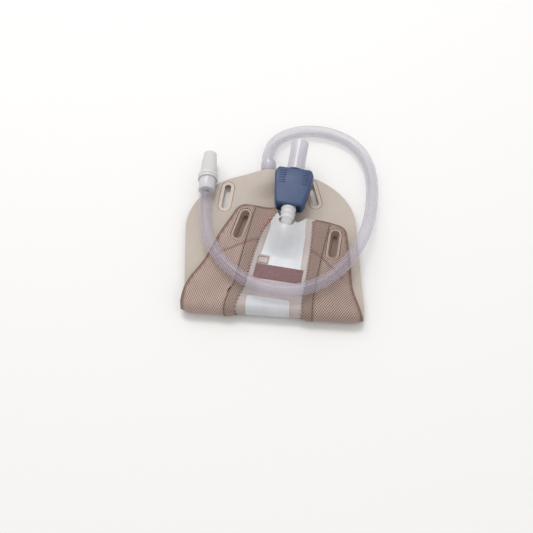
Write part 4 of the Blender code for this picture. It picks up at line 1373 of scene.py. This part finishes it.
@dataclass
class FabricPanels:
    """The two net panels on the front: hem, pinked edge, weld lines and the stitches along the hem.

    Attributes:
        grid: between the panel's points.
        pitch: half a tooth's run along the pinked edge.
        tooth: how deep the teeth are.
        stitch: how long each stitch is.
        stitch_gap: between two stitches.
        thread: the thread's radius.
        flat_width: across one panel, laid flat; not used.
        area: one panel's own, in square metres; not used.
    """

    grid: float = 1.5 * MM
    pitch: float = 2.1 * MM
    tooth: float = 1.7 * MM
    stitch: float = 2.6 * MM
    stitch_gap: float = 0.3 * MM
    thread: float = 0.24 * MM
    flat_width: float = 0.041
    area: float = 0.0062

    def window_edge(self, side: int) -> np.ndarray:
        """The pinked edge by the window, from the inlet edge to the drain edge.

        Args:
            side: 1 for the right panel and -1 for the left.

        Returns:
            The zigzag's points.
        """
        start, end = -PATTERN.inlet - 4 * MM, PATTERN.drain + 4 * MM
        count = 2 * round((end - start) / self.pitch)
        s = np.linspace(start, end, count + 1)
        t = PATTERN.pinked_half(side, s) + self.tooth / 2 * np.where(np.arange(count + 1) % 2, 1, -1)
        return np.column_stack([side * t, s])

    def panel_loop(self, side: int) -> np.ndarray:
        """The panel's outline: the pinked edge and the bag's own outline beyond it.

        Args:
            side: 1 for the right panel and -1 for the left.

        Returns:
            The closed loop.
        """
        half = PATTERN.half_outline() * (side, 1)
        edge = self.window_edge(side)
        outer = half[np.abs(half[:, 0]) > PATTERN.pinked_half(side, half[:, 1]) + 0.7 * MM]
        outer = outer[np.abs(outer[:, 0]) > 11 * MM]
        edge = edge[inside(edge, PATTERN.outline())]
        return np.vstack([edge, outer[::-1]])

    def funnel(self, side: int) -> np.ndarray:
        """The weld line that closes the bladder in toward the valve.

        Args:
            side: 1 for the right panel and -1 for the left.

        Returns:
            The line's points.
        """
        route = [(38.8, 33.5), (35.4, 36.6), (31.6, 39.6), (26.9, 43.1), (21.4, 46.6), (16.9, 48.8)]
        return smooth_line(np.array(route) * (side * MM, MM), 4)

    def relief(self, t: np.ndarray, s: np.ndarray) -> tuple[np.ndarray, np.ndarray]:
        """The outer and inner face: the doubled hem, the pressed welds and the soft waves between them.

        Args:
            t: across the bag.
            s: along it.

        Returns:
            How far each face stands from the middle.
        """
        half = PATTERN.fabric / 2
        points = np.column_stack([np.abs(t), s])
        welds = 1 - smooth(distance_to(points, self.funnel(1)), 0.2 * MM, 1.5 * MM)
        edge = 1 - smooth(PATTERN.edge_distance(t, s), 0.6 * MM, 2.6 * MM)
        wave = 0.12 * MM * (1 + np.sin(s / (6.1 * MM) + np.abs(t) / (9 * MM)) * np.sin(t / (7 * MM)))
        pinked = 1 - smooth(np.abs(t) - PATTERN.pinked_half(t, s), 0.4 * MM, 3.0 * MM)
        outer = half + PATTERN.hem_extra * PATTERN.hem(t, s) + wave * (1 - edge)
        outer = outer - 0.22 * MM * np.maximum(welds, edge)
        outer = outer * (1 - pinked) + 0.1 * MM * pinked
        return outer, np.full(len(t), half) + 0.2 * MM * pinked

    def build(self) -> list[bpy.types.Object]:
        """Builds both panels and their stitches.

        Returns:
            The pieces.
        """
        made, room = [], PATTERN.rim + PATTERN.rim_clearance
        for name, side in (("left", -1), ("right", 1)):
            holes = [PATTERN.stadium(slot, room) for slot in SLOT_NAMES if slot.endswith(name)]
            s = np.arange(-PATTERN.inlet + 10 * MM, PATTERN.drain - 3 * MM, 2.5 * MM)
            out = PATTERN.hem_line + PATTERN.flare(side, s)
            hem = [np.column_stack([side * (out + gap), s]) for gap in (-0.1 * MM, PATTERN.hem_step)]
            cut = SheetCut(
                f"panel_{name}",
                self.panel_loop(side),
                PATTERN.fabric_at,
                PATTERN.fabric,
                self.grid,
                holes=holes,
                lines=hem,
                welds=[self.funnel(side)],
                relief=self.relief,
            )
            panel = new_object(f"panel_{name}", cut.build(), MESH_KNIT, Body.BAG)
            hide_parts(f"fabric_{name}")
            stitches = self.stitches(name, side)
            made += [panel, stitches]
        return made

    def stitches(self, name: str, side: int) -> bpy.types.Object:
        """The hem's row of stitches, laid along its line by Geometry Nodes.

        Args:
            name: left or right.
            side: 1 for the right panel and -1 for the left.

        Returns:
            The stitches as one piece.
        """
        s = np.arange(-PATTERN.inlet + 12 * MM, PATTERN.drain - 3 * MM, 0.8 * MM)
        across = side * (PATTERN.hem_line - 0.9 * MM + PATTERN.flare(side, s))
        outer, _ = self.relief(across, s)
        points = PATTERN.folded(across, s, PATTERN.fabric_at(across, s) + outer + self.thread * 0.4)
        return along_line(
            f"hem_stitches_{name}",
            points,
            dash(self.stitch, self.thread),
            self.stitch + self.stitch_gap,
            THREAD,
            Slot.MESH,
            Body.BAG,
        )


def dash(length: float, radius: float) -> bpy.types.Mesh:
    """One short rod with rounded ends along X, for stitches and ribs.

    Args:
        length: from end to end.
        radius: of the rod.

    Returns:
        The mesh.
    """
    build = bmesh.new()
    bmesh.ops.create_icosphere(build, subdivisions=1, radius=radius)
    for vert in build.verts:
        vert.co.x += math.copysign(length / 2 - radius, vert.co.x) if abs(vert.co.x) > 1e-6 else 0
    mesh = bpy.data.meshes.new("dash")
    build.to_mesh(mesh)
    build.free()
    mesh.shade_smooth()
    return mesh


def along_line(
    name: str,
    points: np.ndarray,
    unit: bpy.types.Mesh,
    spacing: float,
    finish: Finish,
    slot: Slot,
    body: Body,
) -> bpy.types.Object:
    """Repeats a small mesh along a line with Geometry Nodes, and makes the result a plain mesh.

    Args:
        name: the piece's name.
        points: the line's points, in the row frame.
        unit: the mesh that is repeated, its length along X.
        spacing: between the copies.
        finish: the piece's material.
        slot: the record's slot; not used.
        body: the body that it rides on.

    Returns:
        The piece.
    """
    carrier = bpy.data.meshes.new(f"{name}_line")
    carrier.from_pydata([tuple(p) for p in points], [(i, i + 1) for i in range(len(points) - 1)], [])
    line = bpy.data.objects.new(f"{name}_line", carrier)
    source = bpy.data.objects.new(f"{name}_unit", unit)
    for one in (line, source):
        bpy.context.scene.collection.objects.link(one)
    tree = bpy.data.node_groups.new(f"{name}_nodes", "GeometryNodeTree")
    face = tree.interface
    face.new_socket("Geometry", in_out="INPUT", socket_type="NodeSocketGeometry")
    gap = face.new_socket("Spacing", in_out="INPUT", socket_type="NodeSocketFloat")
    shape = face.new_socket("Unit", in_out="INPUT", socket_type="NodeSocketObject")
    face.new_socket("Geometry", in_out="OUTPUT", socket_type="NodeSocketGeometry")
    start = add(tree, "NodeGroupInput")
    curve = add(tree, "GeometryNodeMeshToCurve", {0: start.outputs["Geometry"]})
    inputs = {"Curve": curve, "Length": start.outputs["Spacing"]}
    spaced = add(tree, "GeometryNodeCurveToPoints", inputs, mode="LENGTH")
    inputs = {"Vector": spaced.outputs["Tangent"]}
    turn = add(tree, "FunctionNodeAlignRotationToVector", inputs, axis="X")
    thing = add(tree, "GeometryNodeObjectInfo", {"Object": start.outputs["Unit"]})
    inputs = {"Points": spaced.outputs["Points"], "Instance": thing.outputs["Geometry"]}
    copies = add(tree, "GeometryNodeInstanceOnPoints", {**inputs, "Rotation": turn})
    real = add(tree, "GeometryNodeRealizeInstances", {0: copies})
    dressed = add(tree, "GeometryNodeSetMaterial", {"Geometry": real, "Material": finish.made()})
    add(tree, "NodeGroupOutput", {0: dressed})
    step = line.modifiers.new("repeat", "NODES")
    step.node_group = tree
    step[gap.identifier] = spacing
    step[shape.identifier] = source
    graph = bpy.context.evaluated_depsgraph_get()
    mesh = bpy.data.meshes.new_from_object(line.evaluated_get(graph))
    mesh.name = name
    for one in (line, source):
        bpy.data.objects.remove(one)
    return new_object(name, mesh, finish, body)


@dataclass
class SlotRims:
    """The welded rings round the strap slots: a raised lip, and a wall that joins all the layers.

    Attributes:
        parts: how many segments each round end has.
        skirt: how far out the ring reaches under the net.
        draft: how far the wall leans inward at the bottom, on the drain half and on the inlet half.
    """

    parts: int = 14
    skirt: float = 1.5 * MM
    draft: tuple[float, float] = (1.4 * MM, 0.7 * MM)

    def rings(self, name: str) -> list[tuple[np.ndarray, np.ndarray, float]]:
        """The ring's section, swept round one slot.

        Args:
            name: the slot's name.

        Returns:
            The loop in the flat pattern, its levels and how much of the wall colour, partly painted
            shade, it takes, for each ring.
        """
        half, band, deep = PATTERN.fabric / 2, PATTERN.rim, PATTERN.fleece / 2
        # The third number is the share of the wall colour, partly painted shade, deepest in the groove
        # round the lip and down the wall.
        top = [
            (0.0, half + 0.1 * MM, 0.6),
            (0.14 * MM, half + 0.38 * MM, 0.0),
            (0.36 * MM, half + 0.46 * MM, 0.0),
            (0.6 * MM, half + 0.2 * MM, 0.3),
            (0.8 * MM, half - 0.08 * MM, 0.8),
            (1.0 * MM, half - 0.02 * MM, 0.4),
            (band - 0.15 * MM, half, 0.1),
            (band, half - 0.15 * MM, 0.1),
            (band, -half, 0.1),
            (self.skirt, -half, 1.0),
        ]
        section = []
        for out, high, wall in [(0.0, -half, 1.0), *top]:
            loop = PATTERN.stadium(name, out, self.parts)
            section.append((loop, PATTERN.fabric_at(*loop.T) + high, wall))
        draft = self.draft[0] if name.startswith("drain") else self.draft[1]
        for out in (self.skirt, -draft):
            loop = PATTERN.stadium(name, out, self.parts)
            section.append((loop, PATTERN.fleece_at(*loop.T) - deep + 0.1 * MM, 0.4))
        return section

    def build(self) -> list[bpy.types.Object]:
        """Builds the four rims.

        Returns:
            The pieces.
        """
        made = []
        for name in SLOT_NAMES:
            rings = self.rings(name)
            count = len(rings[0][0])
            verts = np.vstack([PATTERN.folded(*loop.T, level) for loop, level, _ in rings])
            faces = [
                (i * count + j, i * count + k, after * count + k, after * count + j)
                for i in range(len(rings))
                for after in [(i + 1) % len(rings)]
                for j in range(count)
                for k in [(j + 1) % count]
            ]
            mesh = mesh_from(f"rim_{name}", verts, faces, 60)
            mark(mesh, "wall", np.repeat([wall for _, _, wall in rings], count))
            outward(mesh)
            rim = new_object(f"rim_{name}", mesh, WELDED_RIM, Body.BAG)
            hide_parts(f"slot_rim_{name}")
            made.append(rim)
        return made


def outward(mesh: bpy.types.Mesh) -> None:
    """Merges a mesh's doubles and turns its faces outwards.

    Args:
        mesh: the mesh, which is closed.
    """
    build = bmesh.new()
    build.from_mesh(mesh)
    bmesh.ops.remove_doubles(build, verts=build.verts, dist=1e-6)
    bmesh.ops.recalc_face_normals(build, faces=build.faces)
    build.to_mesh(mesh)
    build.free()


@dataclass
class FirmPieces:
    """The moulded pieces, which keep the shapes of their solids with softer edges.

    Attributes:
        angle: sharper edges than this stay sharp, in degrees.
        wider: how much wider the sleeve's inner end is than its solid's.
        wide_run: where along the sleeve that begins to fade, and where it ends.
        wide_reach: how far off the axis it begins, and where it is whole.
        drawn_in: how far the end's outer rim is drawn in along the axis.
        drawn_run: how far along the sleeve that goes on.
        drawn_reach: how far off the axis it begins, and where it is whole.
    """

    angle: float = 32.0
    wider: float = 0.27
    wide_run: tuple[float, float] = (1 * MM, 11 * MM)
    wide_reach: tuple[float, float] = (4.8 * MM, 6.0 * MM)
    drawn_in: float = 1.8 * MM
    drawn_run: float = 8 * MM
    drawn_reach: tuple[float, float] = (5.0 * MM, 5.5 * MM)

    def build(self) -> list[bpy.types.Object]:
        """Dresses each moulded node with a smooth copy of its own mesh.

        Returns:
            The pieces.
        """
        made = []
        for node, finish, slot, body in (
            ("outlet_stem", NATURAL_PE, Slot.WHITE, Body.BAG),
            ("stem_seal_inner", SEAL_RUBBER, Slot.SEAL, Body.BAG),
            ("stem_seal_outer", SEAL_RUBBER, Slot.SEAL, Body.BAG),
            ("drain_sleeve", BLUE_PE, Slot.BLUE, Body.DRAIN),
            ("outlet_hose", CLEAR_PVC, Slot.TUBE, Body.DRAIN),
            ("inlet_port", CLEAR_PVC, Slot.CLEAR, Body.BAG),
            ("flutter_valve_front", CLEAR_FILM, Slot.FILM, Body.BAG),
            ("flutter_valve_back", CLEAR_FILM, Slot.FILM, Body.BAG),
            ("tube_connector", NATURAL_PE, Slot.WHITE, Body.BAG),
            ("connector_cap", CAP_PE, Slot.CAP, Body.CAP),
        ):
            made.append(self.dressed(node, finish, slot, body))
        return made

    def dressed(self, node: str, finish: Finish, slot: Slot, body: Body) -> bpy.types.Object:
        """A copy of a node's mesh with merged points, soft edges and smooth shading.

        Args:
            node: the CAD node.
            finish: its material.
            slot: the record's slot; not used.
            body: the body that it rides on.

        Returns:
            The piece.
        """
        build = bmesh.new()
        build.from_mesh(bpy.data.objects[node].data)
        bmesh.ops.remove_doubles(build, verts=build.verts, dist=2e-6)
        level = math.radians(1.0)
        bmesh.ops.dissolve_limit(build, angle_limit=level, verts=build.verts, edges=build.edges)
        if node == "drain_sleeve":
            self.square_shoulders(build)
        mesh = bpy.data.meshes.new(f"{node}_soft")
        build.to_mesh(mesh)
        build.free()
        mesh.shade_smooth()
        mesh.set_sharp_from_angle(angle=math.radians(self.angle))
        places = np.empty(len(mesh.vertices) * 3)
        mesh.vertices.foreach_get("co", places)
        lay_flat(mesh, places.reshape(-1, 3)[:, :2])
        piece = new_object(f"{node}_soft", mesh, finish, body)
        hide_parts(node)
        return piece

    def square_shoulders(self, build: bmesh.types.BMesh) -> None:
        """Squares the sleeve's inner end, as the photograph shows it.

        Args:
            build: the sleeve's mesh.
        """
        place = SleeveGrips().axis()
        back = place.inverted()
        for vert in build.verts:
            spot = back @ vert.co
            along = np.array(spot.y - SleeveGrips.start)
            near = 1 - smooth(along, *self.wide_run)
            spot.x *= 1 + self.wider * float(near * smooth(np.array(abs(spot.x)), *self.wide_reach))
            end = 1 - smooth(along, 0, self.drawn_run)
            rim = smooth(np.hypot(spot.x, spot.z), *self.drawn_reach)
            spot.y -= self.drawn_in * float(end * rim)
            vert.co = place @ spot


@dataclass
class InletTube:
    """The clear inlet tube, a free cord that loops over the folded bag.

    Attributes:
        route: the source's own points, in mm: x and y from the fold's middle, z over the table. The
            source's first one lies so near the port that it would kink the tube there, and is left out.
        radius: outside.
        bore: inside radius.
        port: how far the tube starts past the inlet edge.
        straight: how far it then runs straight on.
        sides: how many faces lie round it.
    """

    route: tuple[tuple[float, float, float], ...] = (
        (-7.5, 130.4, 4.5),
        (0.7, 138.1, 4.3),
        (11.3, 142.2, 4.2),
        (22.7, 142.9, 4.2),
        (34.0, 140.6, 4.2),
        (44.1, 135.3, 4.2),
        (52.0, 127.1, 4.2),
        (57.0, 116.8, 4.2),
        (59.3, 105.6, 4.4),
        (59.7, 94.3, 5.2),
        (59.1, 82.9, 6.5),
        (57.6, 71.7, 8.6),
        (55.1, 60.7, 11.0),
        (51.2, 50.0, 14.0),
        (46.1, 39.9, 15.1),
        (39.6, 30.7, 15.5),
        (31.3, 22.8, 15.7),
        (21.3, 17.1, 15.7),
        (10.4, 14.3, 15.7),
        (-1.1, 14.4, 15.7),
        (-12.1, 17.4, 15.7),
        (-22.3, 22.8, 15.7),
        (-31.0, 30.2, 15.6),
        (-38.1, 39.2, 15.2),
        (-43.1, 49.3, 14.1),
        (-46.2, 60.3, 12.6),
        (-47.8, 71.6, 11.6),
        (-48.3, 84.0, 11.3),
    )
    radius: float = 3.9 * MM
    bore: float = 2.55 * MM
    port: float = 9.3 * MM
    straight: float = 5 * MM
    sides: int = 40

    def path(self) -> np.ndarray:
        """The centreline in the row frame, from the port's collar to the connector.

        Returns:
            The line's points.
        """
        top = PATTERN.front_film_level + PATTERN.chamber_gap - PATTERN.film / 2
        level = top - PATTERN.gap - PATTERN.boat[1] / 2
        edge = PATTERN.folded(0, -PATTERN.inlet, level)[0]
        way = np.array([-math.sin(PATTERN.lean), math.cos(PATTERN.lean), 0])
        centre = np.array([*PATTERN.centre, 0])
        route = [edge + way * self.port, edge + way * (self.port + self.straight)]
        route += [np.array(p) * MM + centre for p in self.route]
        return smooth_line(route, 8)

    def build(self) -> bpy.types.Object:
        """Builds the tube as a wall round its bore.

        Returns:
            The piece.
        """
        line = self.path()
        rings = sweep_frames(line)
        angles = np.linspace(0, math.tau, self.sides, endpoint=False)
        circle = np.column_stack([np.cos(angles), np.sin(angles)])
        shell = []
        for radius in (self.radius, self.bore):
            for centre, (side, up) in zip(line, rings):
                shell.append(centre + radius * (circle[:, :1] * side + circle[:, 1:] * up))
        verts = np.vstack(shell)
        count, n = len(line), self.sides
        faces = []
        for j in range(n):
            k = (j + 1) % n
            for i in range(count - 1):
                a, b = i * n, (i + 1) * n
                faces.append((a + j, a + k, b + k, b + j))
                a, b = a + count * n, b + count * n
                faces.append((a + j, b + j, b + k, a + k))
            for end, flip in ((0, True), (count - 1, False)):
                a, b = end * n, (end + count) * n
                ring = (a + j, a + k, b + k, b + j)
                faces.append(ring if not flip else ring[::-1])
        mesh = mesh_from("clear_tube", verts, faces, 50)
        mark(mesh, "bore", np.repeat([0.0, 1.0], count * n))
        outward(mesh)
        tube = new_object("clear_tube", mesh, TUBING, Body.BAG)
        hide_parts("inlet_tube")
        return tube


def sweep_frames(line: np.ndarray) -> list[tuple[np.ndarray, np.ndarray]]:
    """Two directions across a line at each point, turned as little as possible from one to the next.

    Args:
        line: the line's points.

    Returns:
        The side and up directions at each point.
    """
    ways = np.gradient(line, axis=0)
    ways /= np.linalg.norm(ways, axis=1)[:, None]
    side = np.cross(ways[0], (0, 0, 1))
    frames = []
    for way in ways:
        side = side - way * (side @ way)
        side /= np.linalg.norm(side)
        frames.append((side, np.cross(side, way)))
    return frames


@dataclass
class SleeveGrips:
    """The moulded ribs across the blue sleeve's two ears, on both faces.

    Attributes:
        start: where the sleeve begins along the drain's axis.
        first: where the first rib lies along the sleeve.
        last: where the last one may lie.
        pitch: between ribs.
        spread: from the axis to the ribs' middle.
        half_thickness: from the axis to the ears' faces.
        length: of a rib.
        radius: of a rib.
        sunk: how deep a rib's middle lies in the ear.
    """

    start: float = 18.4 * MM
    first: float = 13.6 * MM
    last: float = 22.2 * MM
    pitch: float = 1.7 * MM
    spread: float = 7.4 * MM
    half_thickness: float = 5.5 * MM
    length: float = 5.0 * MM
    radius: float = 0.5 * MM
    sunk: float = 0.15 * MM

    def axis(self) -> Matrix:
        """The drain's own frame, as the source has it.

        Returns:
            The frame, which runs out along Y from the stem's inner end.
        """
        t = float(PATTERN.drain_axis(PATTERN.stem_start))
        level = PATTERN.back_film_level + PATTERN.film / 2 + PATTERN.gap + PATTERN.stem_ring
        origin = Vector(PATTERN.folded(t, PATTERN.stem_start, level)[0])
        swing = PATTERN.swing * PATTERN.stem_start / PATTERN.drain
        turn = PATTERN.lean + swing + PATTERN.drain_twist
        lie = Matrix.Rotation(-turn, 4, "Z") @ Matrix.Rotation(PATTERN.drain_pitch, 4, "X")
        return Matrix.Translation(origin) @ lie

    def build(self) -> list[bpy.types.Object]:
        """Repeats the ribs along each ear.

        Returns:
            The pieces.
        """
        place, made = self.axis(), []
        steps = np.linspace(self.start + self.first, self.start + self.last, 24)
        for name, side, face in (
            ("left_top", -1, 1),
            ("right_top", 1, 1),
            ("left_under", -1, -1),
            ("right_under", 1, -1),
        ):
            out, up = side * self.spread, face * (self.half_thickness - self.sunk)
            points = np.array([tuple(place @ Vector((out, y, up))) for y in steps])
            rib = dash(self.length, self.radius)
            rib.transform(Matrix.Rotation(math.pi / 2, 4, "Z"))
            finish = (BLUE_PE, Slot.BLUE, Body.DRAIN)
            made.append(along_line(f"grip_{name}", points, rib, self.pitch, *finish))
        return made


@dataclass
class Studio:
    """The floor, the light and the camera at the photograph's angle.

    Attributes:
        azimuth: how far the camera stands to the right, in degrees.
        elevation: how high it stands, in degrees.
        distance: how far away it stands.
        view: how wide it sees, in degrees.
        target: what it looks at.
        lamps: each soft lamp's name, place, size and watts. The low glint draws the tube's highlight.
        sky: the strength of the plain white light from all round, as in a photographer's tent.
        reach: half the floor's side.
    """

    azimuth: float = 4.2
    elevation: float = 62.0
    distance: float = 0.5
    view: float = 36.5
    target: tuple[float, float, float] = (-0.00354, -0.02930, 0.0105)
    lamps: tuple[tuple[str, tuple[float, float, float], float, float], ...] = (
        ("key", (-0.7, 0.9, 1.3), 0.9, 5.0),
        ("fill", (0.9, -0.5, 1.4), 1.2, 2.0),
        ("glint", (-0.12, 0.55, 1.15), 0.4, 5.0),
    )
    sky: float = 0.72
    reach: float = 2.5

    def camera(self) -> None:
        """Sets the camera."""
        a, e = math.radians(self.azimuth), math.radians(self.elevation)
        back = Vector((math.sin(a) * math.cos(e), -math.cos(a) * math.cos(e), math.sin(e)))
        data = bpy.data.cameras.new("camera")
        data.sensor_width = 36.0
        data.lens = 18.0 / math.tan(math.radians(self.view) / 2)
        camera = bpy.data.objects.new("camera", data)
        bpy.context.scene.collection.objects.link(camera)
        camera.location = Vector(self.target) + back * self.distance
        camera.rotation_mode = "QUATERNION"
        camera.rotation_quaternion = (-back).to_track_quat("-Z", "Y")
        bpy.context.scene.camera = camera

    def floor(self) -> None:
        """Lays a wide, plain, pale sheet under the bag."""
        mesh = bpy.data.meshes.new("floor")
        corners = [(x * self.reach, y * self.reach, 0) for x, y in ((-1, -1), (1, -1), (1, 1), (-1, 1))]
        mesh.from_pydata(corners, [], [(0, 1, 2, 3)])
        floor = bpy.data.objects.new("floor", mesh)
        bpy.context.scene.collection.objects.link(floor)
        material = bpy.data.materials.new("pale_matt_board")
        material.use_nodes = True
        shader = material.node_tree.nodes["Principled BSDF"]
        shader.inputs["Base Color"].default_value = linear("#ECEBE9")
        shader.inputs["Roughness"].default_value = 0.9
        mesh.materials.append(material)

    def lamp(self, name: str, place: tuple[float, float, float], size: float, power: float) -> None:
        """Adds a soft square lamp that faces the bag.

        Args:
            name: the lamp's name.
            place: where it stands.
            size: its side.
            power: in watts.
        """
        data = bpy.data.lights.new(name, "AREA")
        data.size = size
        data.energy = power
        lamp = bpy.data.objects.new(name, data)
        bpy.context.scene.collection.objects.link(lamp)
        lamp.location = place
        lamp.rotation_mode = "QUATERNION"
        lamp.rotation_quaternion = (-Vector(place)).to_track_quat("-Z", "Y")

    def build(self) -> None:
        """Sets up the whole studio."""
        self.camera()
        self.floor()
        for lamp in self.lamps:
            self.lamp(*lamp)
        world = bpy.data.worlds.new("plain_light")
        world.use_nodes = True
        sky = world.node_tree.nodes["Background"]
        sky.inputs["Strength"].default_value = self.sky
        sky.inputs["Color"].default_value = linear("#FFFFFF")
        scene = bpy.context.scene
        scene.world = world
        scene.view_settings.view_transform = "Standard"
        # Light bent or mirrored by the clear tube would only scatter bright dots.
        scene.cycles.caustics_reflective = False
        scene.cycles.caustics_refractive = False


def main() -> None:
    """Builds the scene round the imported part."""
    logging.basicConfig(level=logging.INFO, format="%(message)s")
    for old in list(bpy.data.objects):
        bpy.data.objects.remove(old)
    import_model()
    Studio().build()
    pieces = FirmPieces().build()
    pieces += SleeveGrips().build()
    pieces.append(InletTube().build())
    pieces += SoftSheets().build()
    pieces += FabricPanels().build()
    pieces += SlotRims().build()
    LOG.info("%d pieces", len(pieces))


if __name__ == "__main__":
    main()
